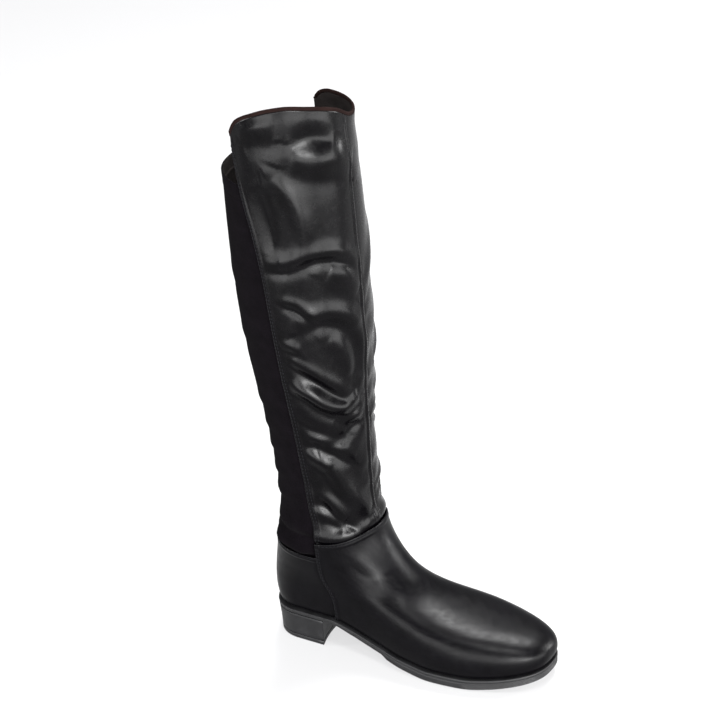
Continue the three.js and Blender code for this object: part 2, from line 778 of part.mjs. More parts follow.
// Heel: the sole's outline up to the breast, which is hollow across.
function heelLoop(inset, z) {
  const front = heelCentre - inset;
  const corner = turnAt(0, () => front);
  const side = range(0, corner, 11).map((turn) => outlinePoint(turn, soleMargin - inset, () => z));
  const last = side[side.length - 1];
  const breast = range(1, 0, 5).slice(1).map((share) => {
    const x = last.x - breastHollow * (1 - share * share);
    return new THREE.Vector3(x, last.y * share, z);
  });
  const half = [...side, ...breast];
  const mirrored = half.slice(1, -1).reverse().map((p) => new THREE.Vector3(p.x, -p.y, p.z));
  return [...half, ...mirrored];
}

function makeHeel() {
  const top = seatHeight - bandEdge - 2 * gap;
  const low = liftThickness + gap;
  const block = [
    heelLoop(heelTaper, low),
    heelLoop(heelTaper * 0.85, mix(low, top, 0.3)),
    heelLoop(heelTaper * 0.5, mix(low, top, 0.7)),
    heelLoop(heelTaper * 0.1, top),
  ];
  piece("heel_block", stackGeometry(block), "heel");
  const lift = [heelLoop(heelTaper + gap, 0), heelLoop(heelTaper, gap), heelLoop(heelTaper, liftThickness)];
  piece("heel_top_lift", stackGeometry(lift), "rubber");
}

function makeInsole() {
  const inwards = -(upperWall + 2 * gap);
  const loop = (rise) => wholeTurns.map((turn) => outlinePoint(turn, inwards, (at) => soleTop(at) + rise));
  piece("insole", stackGeometry([loop(0), loop(insoleThickness)]), "lining");
}

makeOutsole();
makeHeel();
makeInsole();
makeUpper();
makeShaft();
makeBinding();
makeStretchPanel();
makeZip();
placeSlider();
makeSlider();
makePull();

export default boot;
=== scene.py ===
"""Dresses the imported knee-high boot: creased leather, stretch fabric, stitches, zip and rubber sole."""

import functools
import math

import bmesh
import bpy
import numpy as np
from bpy.props import FloatProperty, FloatVectorProperty, PointerProperty
from mathutils import Matrix, Vector


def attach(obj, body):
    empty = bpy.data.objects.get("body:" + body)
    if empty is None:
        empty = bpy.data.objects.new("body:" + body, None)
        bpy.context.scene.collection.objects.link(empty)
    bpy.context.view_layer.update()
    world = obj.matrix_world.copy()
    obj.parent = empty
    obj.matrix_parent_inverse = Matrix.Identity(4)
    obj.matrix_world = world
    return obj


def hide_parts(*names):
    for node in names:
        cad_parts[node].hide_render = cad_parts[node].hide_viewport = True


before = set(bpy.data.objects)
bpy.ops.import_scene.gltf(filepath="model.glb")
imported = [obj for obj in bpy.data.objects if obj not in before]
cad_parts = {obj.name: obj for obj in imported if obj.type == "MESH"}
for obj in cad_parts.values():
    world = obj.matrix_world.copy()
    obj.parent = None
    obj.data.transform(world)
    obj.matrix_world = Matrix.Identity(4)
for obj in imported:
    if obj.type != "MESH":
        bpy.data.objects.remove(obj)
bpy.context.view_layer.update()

bl_info = {
    "name": "Knee-high boot dressing",
    "version": (1, 0, 0),
    "blender": (4, 5, 0),
    "location": "View3D > Sidebar > Boot",
    "description": "Leather, fabric, stitches, zip and sole of a knee-high boot",
    "category": "Object",
}

MM = 0.001
BODY = "boot"

# The last's sizes, in millimetres. The origin is the centre of the heel's flat bottom.
FOOT_LENGTH = 256
HEEL_WIDTH = 60
SEAT_HEIGHT = 30
ANKLE_HEIGHT = 124
ANKLE_DEPTH = 92
ANKLE_WIDTH = 85
ANKLE_BACK = 8
TOE_SWING = 7
BOOT_HEIGHT = 515
CALF_DEPTH = 117
CALF_WIDTH = 112
SHIN_LEAN = -6
FABRIC_TOP = 441
COLLAR_RISE = 38
COUNTER_TOP = 95
VAMP_TOP_FRONT = 119
VAMP_TOP_SIDE = 111
VAMP_TOP_ZIP = 105
LAP = 8
UPPER_WALL = 1.8
VAMP_STEP = 0.6
LEATHER_WALL = 1.4
FABRIC_WALL = 1.2
BINDING_HEIGHT = 2.6
GAP = 0.3
SOLE_MARGIN = 3.2
FOREFOOT_EDGE = 10
BAND_EDGE = 4
WAIST_EDGE = 6
TOE_SPRING = 8
HEEL_LENGTH = 57
HEEL_TAPER = 1.6
BREAST_HOLLOW = 5
LIFT_THICKNESS = 4
INSOLE_THICKNESS = 2
ZIP_SLOT = 7
ZIP_BEHIND = 9
ZIP_BOTTOM = 38
ZIP_FORWARD = 24
TAPE_WIDTH = 17
HEEL_CENTRE = HEEL_LENGTH / 2
LEATHER_FACE = -(UPPER_WALL + GAP)
LEATHER_BACK = LEATHER_FACE - LEATHER_WALL
FABRIC_FACE = LEATHER_BACK - GAP
FABRIC_BACK = FABRIC_FACE - FABRIC_WALL
COLLAR_TOP = BOOT_HEIGHT - BINDING_HEIGHT - GAP


def smooth(value, low, high):
    """Smooth step from 0 at low to 1 at high."""
    t = np.clip((np.asarray(value, float) - low) / (high - low), 0, 1)
    return t * t * (3 - 2 * t)


def mix(a, b, t):
    return a + (b - a) * t


def bell(value, width):
    """1 at 0, falling away softly over the width."""
    return np.exp(-((value / width) ** 2))


def follow(rows, column):
    """Smooth curve through one column of a table over its first, with no overshoot."""
    table = np.array(rows, float)
    xs, ys = table[:, 0], table[:, column]
    slopes = np.diff(ys) / np.diff(xs)
    tangents = np.zeros(len(xs))
    tangents[0], tangents[-1] = slopes[0], slopes[-1]
    a, b = slopes[:-1], slopes[1:]
    same = a * b > 0
    tangents[1:-1][same] = 2 * a[same] * b[same] / (a[same] + b[same])

    def value(at):
        at = np.clip(at, xs[0], xs[-1])
        i = np.clip(np.searchsorted(xs, at, side="right") - 1, 0, len(xs) - 2)
        step = xs[i + 1] - xs[i]
        t = (at - xs[i]) / step
        rise = (ys[i + 1] - ys[i]) * t * t * (3 - 2 * t)
        return ys[i] + rise + step * (t * (1 - t) ** 2 * tangents[i] - t * t * (1 - t) * tangents[i + 1])

    return value


# Share of the foot length; drop from heel seat to ball; toe spring.
SOLE_LINE = [
    (0.0, 0, 0), (0.245, 0, 0), (0.33, 0.2, 0), (0.43, 0.56, 0), (0.54, 0.88, 0),
    (0.64, 1, 0), (0.75, 1, 0), (0.84, 1, 0.2), (0.92, 1, 0.55), (1.0, 1, 1),
]
# Share of the foot length; shares of the band's, the waist's and the forefoot's edge.
SOLE_EDGE = [
    (0.0, 1, 0, 0), (0.25, 1, 0, 0), (0.34, 0.2, 0.8, 0), (0.455, 0, 1, 0), (0.47, 0, 0.25, 0.7),
    (0.56, 0, 0, 0.97), (0.63, 0, 0, 1), (0.76, 0, 0, 1), (1.0, 0, 0, 0.86),
]
# Share of the foot length; lateral and medial half widths, in proportion to each other.
FOOT_OUTLINE = [
    (0.1, 0.341, 0.341), (0.27, 0.352, 0.312), (0.4, 0.388, 0.306), (0.535, 0.472, 0.4),
    (0.67, 0.56, 0.53), (0.8, 0.6, 0.6), (1.0, 0.6, 0.61),
]
# Rings of the foot: back, back rise, front, front rise, widest, swell, outline, sole, toe roundness.
FOOT_RINGS = [
    (0.013, 0.0, 0.988, 0.0, 0.117, -0.1, 1, 1, 2.7),
    (0.003, 0.065, 1.0, 0.065, 0.119, 0.02, 1, 0.97, 2.65),
    (-0.002, 0.14, 0.993, 0.145, 0.122, 0.08, 0.99, 0.9, 2.6),
    (-0.003, 0.215, 0.955, 0.215, 0.128, 0.12, 0.97, 0.78, 2.5),
    (-0.002, 0.29, 0.885, 0.268, 0.135, 0.17, 0.93, 0.64, 2.4),
    (0.001, 0.365, 0.795, 0.305, 0.143, 0.23, 0.88, 0.5, 2.3),
    (0.005, 0.44, 0.695, 0.345, 0.152, 0.31, 0.8, 0.37, 2.25),
    (0.01, 0.515, 0.605, 0.4, 0.162, 0.41, 0.68, 0.26, 2.2),
    (0.015, 0.59, 0.537, 0.475, 0.172, 0.53, 0.53, 0.16, 2.15),
    (0.021, 0.675, 0.482, 0.58, 0.183, 0.67, 0.36, 0.08, 2.1),
    (0.026, 0.77, 0.437, 0.71, 0.193, 0.81, 0.2, 0.03, 2.1),
    (0.03, 0.88, 0.405, 0.855, 0.202, 0.93, 0.07, 0, 2.1),
]
# Rings of the shaft: share of its height; swell from ankle to calf; share of the shin's lean.
SHAFT_RINGS = [
    (0.0, 0, 0), (0.05, -0.05, 0.3), (0.12, 0.0, 0.45), (0.21, 0.2, 0.35), (0.31, 0.5, 0.15),
    (0.42, 0.78, 0), (0.54, 0.95, 0), (0.66, 1.0, 0.1), (0.78, 0.98, 0.35), (0.89, 0.93, 0.65),
    (1.0, 0.9, 1),
]
# Share of the shaft's height; the lateral seam's offset ahead of the shaft's middle.
LATERAL_SEAM = [
    (0.0, 0.17), (0.1, 0.07), (0.35, 0.03), (0.58, -0.02), (0.7, -0.12), (0.81, -0.28),
    (0.9, -0.36), (1.0, -0.4),
]
# Turn round the boot; the collar's rise above its lateral corner.
COLLAR_LINE = [
    (0.185, 0.13), (0.2, 0.4), (0.218, 0.6), (0.264, 0.82), (0.306, 0.95), (0.346, 1),
    (0.401, 0.93), (0.471, 0.72), (0.527, 0.4), (0.58, 0.3), (0.72, 0.27), (0.745, 0.2),
    (0.76, 0.06), (0.785, 0),
]
HEEL_ROUND = 2.15

sole_drop = follow(SOLE_LINE, 1)
sole_spring = follow(SOLE_LINE, 2)
edge_band = follow(SOLE_EDGE, 1)
edge_waist = follow(SOLE_EDGE, 2)
edge_forefoot = follow(SOLE_EDGE, 3)
outline_lateral = follow(FOOT_OUTLINE, 1)
outline_medial = follow(FOOT_OUTLINE, 2)
seam_offset = follow(LATERAL_SEAM, 1)
collar_rise = follow(COLLAR_LINE, 1)


def sole_top(at):
    """Height of the sole's top at a share of the foot length."""
    fall = SEAT_HEIGHT - FOREFOOT_EDGE - GAP
    return SEAT_HEIGHT - sole_drop(at) * fall + sole_spring(at) * TOE_SPRING


def edge_thickness(at):
    return edge_band(at) * BAND_EDGE + edge_waist(at) * WAIST_EDGE + edge_forefoot(at) * FOREFOOT_EDGE


def ring_table():
    """The sizes of every ring, foot first, as columns."""
    rows = []
    toe_top = float(sole_top(1.0))
    for back, back_up, front, front_up, widest, swell, outline, sole, toe in FOOT_RINGS:
        rows.append((
            back * FOOT_LENGTH, mix(SEAT_HEIGHT, ANKLE_HEIGHT, back_up),
            front * FOOT_LENGTH, mix(toe_top, ANKLE_HEIGHT, front_up),
            widest * FOOT_LENGTH, mix(HEEL_WIDTH, ANKLE_WIDTH, swell) / 2, outline, sole, toe,
        ))
    for up, swell, lean in SHAFT_RINGS:
        depth = mix(ANKLE_DEPTH, CALF_DEPTH, swell)
        front = ANKLE_BACK + ANKLE_DEPTH + SHIN_LEAN * lean
        z = mix(ANKLE_HEIGHT, BOOT_HEIGHT + 10, up)
        rows.append((
            front - depth, z, front, z, front - depth / 2,
            mix(ANKLE_WIDTH, CALF_WIDTH, swell) / 2, 0, 0, 2.1,
        ))
    return np.array(rows)


RINGS = ring_table()
BACK, BACK_Z, FRONT, FRONT_Z, WIDEST, HALF, OUTLINE, SOLE, TOE = range(9)
TOP_LEVEL = len(RINGS) - 1


def ring_size(column, level):
    """Catmull-Rom blend of one size between rings."""
    level = np.asarray(level, float)
    i = np.clip(np.floor(level).astype(int), 0, TOP_LEVEL - 1)
    t = level - i
    a, b, c, d = (RINGS[np.clip(i + k, 0, TOP_LEVEL), column] for k in (-1, 0, 1, 2))
    return b + t / 2 * (c - a + t * (2 * a - 5 * b + 4 * c - d + t * (3 * (b - c) + d - a)))


def closing(v, power):
    return np.maximum(0, 1 - np.clip(v, 0, 1) ** power) ** (1 / power)


def form(turn, level):
    """Points of the last's outer form. turn: 0 heel back, 0.25 lateral, 0.5 front, 0.75 medial."""
    turn, level = np.broadcast_arrays(np.mod(turn, 1.0), np.asarray(level, float))
    lateral = turn <= 0.5
    along = np.where(lateral, turn, 1 - turn) * 4
    back, back_z, front, front_z, widest, half, outline, sole, toe = (
        ring_size(column, level) for column in range(9)
    )
    behind = np.cos(np.minimum(along, 1) * math.pi / 2)
    ahead = np.sin(np.maximum(along - 1, 0) * math.pi / 2)
    heel = along <= 1
    x = np.where(heel, widest - (widest - back) * behind, widest + (front - widest) * ahead)
    share = np.where(lateral, *(
        curve(x / FOOT_LENGTH) / curve(widest / FOOT_LENGTH) for curve in (outline_lateral, outline_medial)
    ))
    y = half * np.where(heel, closing(behind, HEEL_ROUND), mix(1, share, outline) * closing(ahead, toe))
    reach = (x - back) / (front - back)
    straight = mix(float(sole_top(0.0)), float(sole_top(1.0)), reach)
    z = mix(back_z, front_z, reach) + sole * (sole_top(x / FOOT_LENGTH) - straight)
    swing = TOE_SWING * smooth(x, 0.35 * FOOT_LENGTH, FOOT_LENGTH)
    return np.stack([x - HEEL_CENTRE, np.where(lateral, -y, y) + swing, z], -1)


def form_normal(turn, level):
    """Outward normals of the form."""
    d = 0.002
    across = form(turn + d, level) - form(turn - d, level)
    up = form(turn, np.minimum(level + 0.05, TOP_LEVEL)) - form(turn, np.maximum(level - 0.05, 0))
    normal = np.cross(across, up)
    return normal / np.linalg.norm(normal, axis=-1, keepdims=True)


def surface(turn, level, offset):
    turn, level, offset = np.broadcast_arrays(turn, level, offset)
    return form(turn, level) + form_normal(turn, level) * offset[..., None]


def halved(low, high, is_below):
    """Bisection: the value between low and high where is_below turns false."""
    for _ in range(24):
        middle = (low + high) / 2
        below = is_below(middle)
        low, high = np.where(below, middle, low), np.where(below, high, middle)
    return (low + high) / 2


def level_at(turn, z):
    """The level at which a column of the form reaches a height."""
    turn, z = np.broadcast_arrays(np.asarray(turn, float), np.asarray(z, float))
    low = np.zeros(turn.shape)
    return halved(low, low + TOP_LEVEL, lambda middle: form(turn, middle)[..., 2] < z)


def turn_at(level, target):
    """The lateral turn at which a ring reaches x = target(turn). The medial side mirrors it."""
    level = np.asarray(level, float)
    zero = np.zeros(level.shape)
    return halved(zero, zero + 0.5, lambda middle: form(middle, level)[..., 0] < target(middle))


def turn_of(distance, turn, level):
    """Millimetres along a ring as a share of a turn."""
    d = 0.002
    return distance * 2 * d / np.linalg.norm(form(turn + d, level) - form(turn - d, level), axis=-1)


def lateral_turn(level):
    up = (ring_size(BACK_Z, level) - VAMP_TOP_SIDE) / (BOOT_HEIGHT - VAMP_TOP_SIDE)
    return 0.25 + np.arcsin(seam_offset(up)) / (2 * math.pi)


def zip_turn(level):
    """The zip's line: straight down the shaft, then slanting forwards over the foot."""
    level = np.asarray(level, float)
    top = VAMP_TOP_ZIP + LAP
    ankle_middle = ANKLE_BACK + ANKLE_DEPTH / 2 - HEEL_CENTRE
    middle = ring_size(WIDEST, level) - HEEL_CENTRE

    def target(turn):
        slant = (top - form(1 - turn, level)[..., 2]) / (top - ZIP_BOTTOM)
        ease = smooth(smooth(slant, 0, 1), 0, 0.1)
        return mix(middle, ankle_middle, ease) - ZIP_BEHIND + ZIP_FORWARD * np.maximum(0, slant)

    return 1 - turn_at(level, target)


def zip_edge(level, side, half=ZIP_SLOT / 2):
    """An edge beside the zip: side -1 ahead of it, +1 behind it."""
    turn = zip_turn(level)
    return turn + turn_of(side * half, turn, level)


SIDE_SEAM = 0.25 + math.asin(LATERAL_SEAM[0][1]) / (2 * math.pi)
ZIP_FLOOR = float(level_at(zip_turn(1.0), ZIP_BOTTOM))
ZIP_AT_ANKLE = float(zip_turn(level_at(0.78, VAMP_TOP_ZIP)))


def collar_height(turn):
    return COLLAR_TOP - COLLAR_RISE * (1 - collar_rise(turn))


def vamp_top(turn):
    lateral = mix(VAMP_TOP_SIDE, VAMP_TOP_FRONT, smooth(turn, SIDE_SEAM, 0.46))
    medial = mix(VAMP_TOP_FRONT, VAMP_TOP_ZIP, smooth(turn, 0.54, ZIP_AT_ANKLE))
    return np.where(turn <= 0.5, lateral, medial)


# Folds of the shaft. Each row: ridge height, trough depth, half width, and the
# line's points as (millimetres round from the shin seam, lateral positive; height above the floor).
LATERAL_FOLDS = [
    (0.0, 3.0, 13, [(86, 446), (82, 425), (78, 402), (78, 386)]),
    (2.6, 0.4, 8, [(80, 452), (66, 430), (62, 404), (70, 378)]),
    (3.4, 1.0, 13, [(62, 462), (40, 456), (20, 452), (2, 440)]),
    (0.4, 2.4, 12, [(60, 488), (40, 492), (18, 484)]),
    (1.8, 1.0, 14, [(104, 482), (88, 488), (72, 486)]),
    (2.0, 2.0, 7, [(96, 372), (72, 374), (44, 382), (18, 374), (2, 358)]),
    (2.2, 0.4, 12, [(40, 362), (24, 352), (10, 336)]),
    (1.2, 1.6, 5, [(80, 342), (66, 338), (50, 326)]),
    (2.6, 2.0, 9, [(64, 318), (44, 326), (22, 316), (10, 290), (14, 258)]),
    (1.8, 0.6, 8, [(44, 304), (30, 288), (26, 268)]),
    (1.6, 0.8, 5, [(84, 300), (74, 300), (66, 296)]),
    (2.0, 2.8, 6, [(76, 288), (58, 276), (40, 262), (24, 248)]),
    (4.8, 3.0, 7.5, [(80, 262), (62, 254), (44, 241), (28, 237), (10, 243)]),
    (0.0, 3.6, 9, [(76, 238), (54, 224), (32, 218), (12, 226)]),
    (2.4, 1.6, 7, [(36, 232), (22, 226), (6, 224)]),
    (1.6, 1.2, 6, [(74, 222), (50, 210), (24, 212)]),
    (1.8, 2.2, 6.5, [(68, 210), (52, 206), (36, 198), (20, 186)]),
    (2.8, 0.8, 7, [(68, 194), (56, 188), (48, 180)]),
    (4.2, 1.2, 9, [(50, 194), (38, 164), (22, 140), (10, 128)]),
    (0.0, 2.6, 7, [(64, 180), (54, 158), (38, 136)]),
    (2.2, 3.0, 7, [(68, 154), (50, 148), (34, 135), (20, 122)]),
    (2.6, 1.8, 7, [(64, 136), (48, 134), (36, 126)]),
]
MEDIAL_FOLDS = [
    (0.8, 1.0, 10, [(-88, 452), (-60, 456), (-30, 444)]),
    (1.8, 1.2, 9, [(-74, 402), (-52, 380), (-30, 352), (-14, 336)]),
    (0.8, 1.0, 5, [(-86, 370), (-62, 364)]),
    (0.7, 0.9, 5, [(-88, 330), (-66, 322)]),
    (1.0, 1.2, 7, [(-84, 322), (-50, 318), (-20, 288)]),
    (2.4, 1.6, 5.5, [(-82, 306), (-58, 296), (-38, 276), (-24, 264)]),
    (0.8, 1.2, 5, [(-86, 276), (-60, 262), (-44, 262)]),
    (1.8, 1.2, 7, [(-62, 246), (-40, 240), (-20, 232)]),
    (1.6, 2.8, 4.5, [(-84, 212), (-60, 224), (-36, 226), (-10, 220)]),
    (1.8, 2.4, 4.5, [(-86, 198), (-58, 208), (-34, 212), (-12, 218)]),
    (1.6, 1.2, 6, [(-60, 188), (-38, 196), (-18, 208)]),
    (1.2, 1.8, 4.5, [(-84, 180), (-58, 178), (-40, 160), (-14, 152)]),
    (1.8, 2.8, 4.5, [(-80, 152), (-56, 160), (-34, 156), (-10, 148)]),
    (1.8, 2.0, 5, [(-78, 132), (-62, 146), (-38, 148), (-14, 140)]),
    (1.6, 1.8, 4, [(-60, 124), (-44, 132), (-24, 134)]),
]
FABRIC_FOLDS = [
    (0.8, 0.8, 6, [(-60, 236), (-20, 230), (30, 236), (70, 228)]),
    (0.9, 0.9, 5, [(-64, 212), (-14, 206), (26, 214), (70, 204)]),
    (1.0, 1.0, 5, [(-58, 190), (-10, 184), (34, 190), (66, 182)]),
    (1.0, 1.1, 5, [(-60, 168), (-20, 162), (24, 168), (64, 160)]),
    (1.2, 1.3, 5, [(-62, 146), (-18, 142), (28, 146), (64, 138)]),
    (0.7, 0.7, 8, [(-70, 300), (-10, 290), (70, 306)]),
    (0.6, 0.6, 9, [(-70, 352), (0, 344), (70, 356)]),
]


def curve_through(points, count=28):
    """Catmull-Rom samples through given points."""
    p = np.array([points[0], *points, points[-1]], float)
    spans = len(points) - 1
    at = np.linspace(0, spans, count)
    i = np.minimum(at.astype(int), spans - 1)
    t = (at - i)[:, None]
    a, b, c, d = (p[i + k] for k in range(4))
    return b + t / 2 * (c - a + t * (2 * a - 5 * b + 4 * c - d + t * (3 * (b - c) + d - a)))


def fold_height(folds, around, height):
    """Height of the folds at each point of a panel, in millimetres."""
    whole = np.zeros(around.shape)
    for ridge, trough, width, points in folds:
        line = curve_through(points)
        low, high = line.min(axis=0) - 4 * width, line.max(axis=0) + 4 * width
        inside = (around > low[0]) & (around < high[0]) & (height > low[1]) & (height < high[1])
        whole[inside] += one_fold(ridge, trough, width, line, around[inside], height[inside])
    return whole


def one_fold(ridge, trough, width, line, around, height):
    """A soft ridge above the line and a sharper trough below it, fading at both ends."""
    if around.size:
        near = np.full(around.shape, 1e9)
        signed = np.zeros(around.shape)
        share = np.zeros(around.shape)
        for k in range(len(line) - 1):
            step = line[k + 1] - line[k]
            length = np.hypot(*step)
            dx, dz = around - line[k, 0], height - line[k, 1]
            t = np.clip((dx * step[0] + dz * step[1]) / length**2, 0, 1)
            gap = np.hypot(dx - t * step[0], dz - t * step[1])
            cross = (dz * step[0] - dx * step[1]) / length
            closer = gap < near
            near = np.where(closer, gap, near)
            signed = np.where(closer, np.where(cross >= 0, gap, -gap), signed)
            share = np.where(closer, (k + t) / (len(line) - 1), share)
        above = -1 if line[-1, 0] < line[0, 0] else 1
        across = signed * above
        ends = np.sin(math.pi * np.clip(share, 0.02, 0.98)) ** 0.7
        reach = width * (0.6 + 0.4 * ends)
        crest = ridge * bell(across - 0.8 * width, reach)
        valley = trough * np.exp(-(np.abs(across + 0.5 * width) / (0.8 * reach)) ** 1.6)
        return ends * (crest - valley)
    return 0


def drift(around, height):
    """Slow unevenness of worn leather, in millimetres."""
    slow = ((61, 83, 0.4), (-47, 67, 2.7), (35, 119, 5.3), (29, -41, 4.9))
    quick = ((19, 13, 1.1), (-23, 11, 3.7), (12, 27, 0.2))
    total = sum(np.sin(around / across * 2 + height / up * 2 + phase) for across, up, phase in slow)
    worn = 0.25 + 0.75 * (1 - smooth(height, 180, 420))
    fine = sum(np.sin(around / across * 2 + height / up * 2 + phase) for across, up, phase in quick)
    return total / len(slow) + 0.25 * worn * fine / len(quick)


class Sheet:
    """A grid of points over the form, with millimetres round and up for patterns and folds."""

    def __init__(self, columns, rows, turns, low, high, middle=0.5):
        share = np.asarray(columns, float)[:, None]
        rise = np.asarray(rows, float)[None, :]
        top_turn = turns(share, np.full(share.shape, TOP_LEVEL - 1.0))
        for _ in range(2):
            bottom, top = low(top_turn, share), high(top_turn, share)
            z = mix(bottom, top, rise)
            level = level_at(np.broadcast_to(top_turn, z.shape), z)
            turn = turns(np.broadcast_to(share, z.shape), level)
            level = level_at(turn, z)
            turn = turns(np.broadcast_to(share, z.shape), level)
        self.share, self.rise = np.broadcast_arrays(share, rise)
        self.turn, self.level, self.z = turn, level, z
        self.points = form(turn, level)
        self.normals = form_normal(turn, level)
        steps = np.linalg.norm(np.diff(self.points, axis=0), axis=-1)
        run = np.concatenate([np.zeros((1, z.shape[1])), np.cumsum(steps, axis=0)])
        at_middle = np.array([np.interp(middle, turn[:, k], run[:, k]) for k in range(z.shape[1])])
        self.around = at_middle[None, :] - run
        self.from_start = run
        self.from_end = run[-1:] - run
        self.below_top = top - z
        self.above_low = z - bottom

    def place(self, offset):
        return self.points + self.normals * np.broadcast_to(offset, self.turn.shape)[..., None]


def new_object(name, bm, body=BODY):
    """Puts a bmesh into an object at the origin that rides on a body."""
    mesh = bpy.data.meshes.new(name)
    bm.to_mesh(mesh)
    bm.free()
    for polygon in mesh.polygons:
        polygon.use_smooth = True
    piece = bpy.data.objects.new(name, mesh)
    bpy.context.collection.objects.link(piece)
    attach(piece, body)
    return piece


def grid_object(name, places, pattern, merge=0.0):
    """A grid of vertices moved on to a sheet's points. pattern: millimetres for the UV map."""
    columns, rows = places.shape[:2]
    bm = bmesh.new()
    uv = bm.loops.layers.uv.new("mm")
    bmesh.ops.create_grid(bm, x_segments=columns - 1, y_segments=rows - 1, size=1)
    around, up = pattern
    bm.verts.ensure_lookup_table()
    flats = [((v.co.x + 1) / 2 * (columns - 1), (v.co.y + 1) / 2 * (rows - 1)) for v in bm.verts]
    cells = [(int(round(a)), int(round(b))) for a, b in flats]
    for vert, (i, j) in zip(bm.verts, cells):
        vert.co = Vector(places[i, j] * MM)
    for face in bm.faces:
        for loop in face.loops:
            i, j = cells[loop.vert.index]
            loop[uv].uv = (around[i, j] * MM, up[i, j] * MM)
    if merge:
        bmesh.ops.remove_doubles(bm, verts=bm.verts[:], dist=merge * MM)
    return new_object(name, bm)


def thicken(piece, wall, inner=0):
    """Gives a sheet its wall, inwards. inner: material index of the wall's back."""
    solid = piece.modifiers.new("wall", "SOLIDIFY")
    solid.thickness = wall * MM
    solid.offset = -1
    solid.use_even_offset = True
    solid.use_quality_normals = True
    solid.material_offset = inner


def unit_ball(columns, rows):
    """A ball of radius 1. Its faces stand in the same order in every run."""
    bm = bmesh.new()
    rings = []
    for row in range(1, rows):
        slope = math.pi * row / rows
        turns = [2 * math.pi * column / columns for column in range(columns)]
        rings.append([
            bm.verts.new((math.sin(slope) * math.sin(turn), math.sin(slope) * math.cos(turn), math.cos(slope)))
            for turn in turns])
    top, bottom = bm.verts.new((0, 0, 1)), bm.verts.new((0, 0, -1))
    for here in range(columns):
        after = (here + 1) % columns
        bm.faces.new((top, rings[0][after], rings[0][here]))
        for upper, lower in zip(rings, rings[1:]):
            bm.faces.new((upper[here], upper[after], lower[after], lower[here]))
        bm.faces.new((bottom, rings[-1][here], rings[-1][after]))
    return bm


def repeated(name, template, places):
    """One object from copies of a small bmesh, each moved by its own matrix."""
    mesh = bpy.data.meshes.new(name + "_one")
    template.to_mesh(mesh)
    template.free()
    bm = bmesh.new()
    for place in places:
        mesh.transform(place)
        bm.from_mesh(mesh)
        mesh.transform(place.inverted())
    bpy.data.meshes.remove(mesh)
    return new_object(name, bm)


def spread(*stretches):
    """Shares along a piece: (from, to, count) stretches joined end to end."""
    values = [np.linspace(low, high, count, endpoint=False) for low, high, count in stretches]
    return np.append(np.concatenate(values), stretches[-1][1])


class Shader:
    """A node material with a Principled shader."""

    def __init__(self, name, colour, roughness, metallic=0.0, coordinates="UV"):
        self.material = bpy.data.materials.new(name)
        self.material.use_nodes = True
        self.tree = self.material.node_tree
        self.tree.nodes.clear()
        self.surface = self.node("ShaderNodeBsdfPrincipled")
        output = self.node("ShaderNodeOutputMaterial")
        self.link(self.surface.outputs[0], output.inputs["Surface"])
        self.surface.inputs["Base Color"].default_value = (*colour, 1)
        self.surface.inputs["Roughness"].default_value = roughness
        self.surface.inputs["Metallic"].default_value = metallic
        self.place = self.node("ShaderNodeTexCoord").outputs[coordinates]
        self.relief = None

    def node(self, kind, **values):
        made = self.tree.nodes.new(kind)
        for key, value in values.items():
            setattr(made, key, value)
        return made

    def link(self, start, end):
        self.tree.links.new(start, end)

    def mapped(self, scale=(1, 1, 1)):
        mapping = self.node("ShaderNodeMapping")
        mapping.inputs["Scale"].default_value = scale
        self.link(self.place, mapping.inputs["Vector"])
        return mapping.outputs[0]

    def noise(self, size, detail=3.0, roughness=0.55, stretch=(1, 1, 1)):
        """Noise whose grains are about size millimetres across."""
        texture = self.node("ShaderNodeTexNoise")
        texture.inputs["Scale"].default_value = 1 / (size * MM)
        texture.inputs["Detail"].default_value = detail
        texture.inputs["Roughness"].default_value = roughness
        self.link(self.mapped(stretch), texture.inputs["Vector"])
        return texture.outputs[0]

    def cells(self, size):
        """Pebbles about size millimetres across, 0 in the lines between them."""
        texture = self.node("ShaderNodeTexVoronoi", feature="DISTANCE_TO_EDGE")
        texture.inputs["Scale"].default_value = 1 / (size * MM)
        self.link(self.mapped(), texture.inputs["Vector"])
        return texture.outputs["Distance"]

    def bands(self, size, direction, distortion=0.0):
        """Sine bands, size millimetres apart."""
        texture = self.node("ShaderNodeTexWave", bands_direction=direction)
        texture.inputs["Scale"].default_value = math.pi / (20 * size * MM)
        texture.inputs["Distortion"].default_value = distortion
        self.link(self.mapped(), texture.inputs["Vector"])
        return texture.outputs["Fac"]

    def remap(self, value, low, high, to_low=0.0, to_high=1.0):
        node = self.node("ShaderNodeMapRange")
        limits = {"From Min": low, "From Max": high, "To Min": to_low, "To Max": to_high}
        for socket, number in limits.items():
            node.inputs[socket].default_value = number
        self.link(value, node.inputs["Value"])
        return node.outputs[0]

    def blend(self, factor, first, second):
        node = self.node("ShaderNodeMix", data_type="RGBA")
        self.link(factor, node.inputs["Factor"])
        node.inputs["A"].default_value = (*first, 1)
        node.inputs["B"].default_value = (*second, 1)
        return node.outputs["Result"]

    def bump(self, height, strength, depth):
        """Adds relief, depth in millimetres."""
        node = self.node("ShaderNodeBump")
        node.inputs["Strength"].default_value = strength
        node.inputs["Distance"].default_value = depth * MM
        self.link(height, node.inputs["Height"])
        if self.relief:
            self.link(self.relief, node.inputs["Normal"])
        self.relief = node.outputs[0]
        self.link(self.relief, self.surface.inputs["Normal"])

    def roughness(self, value):
        self.link(value, self.surface.inputs["Roughness"])

    def colour(self, value):
        self.link(value, self.surface.inputs["Base Color"])

    def set(self, **numbers):
        for key, value in numbers.items():
            self.surface.inputs[key.replace("_", " ")].default_value = value


def shade(colour, factor):
    return tuple(channel * factor for channel in colour)


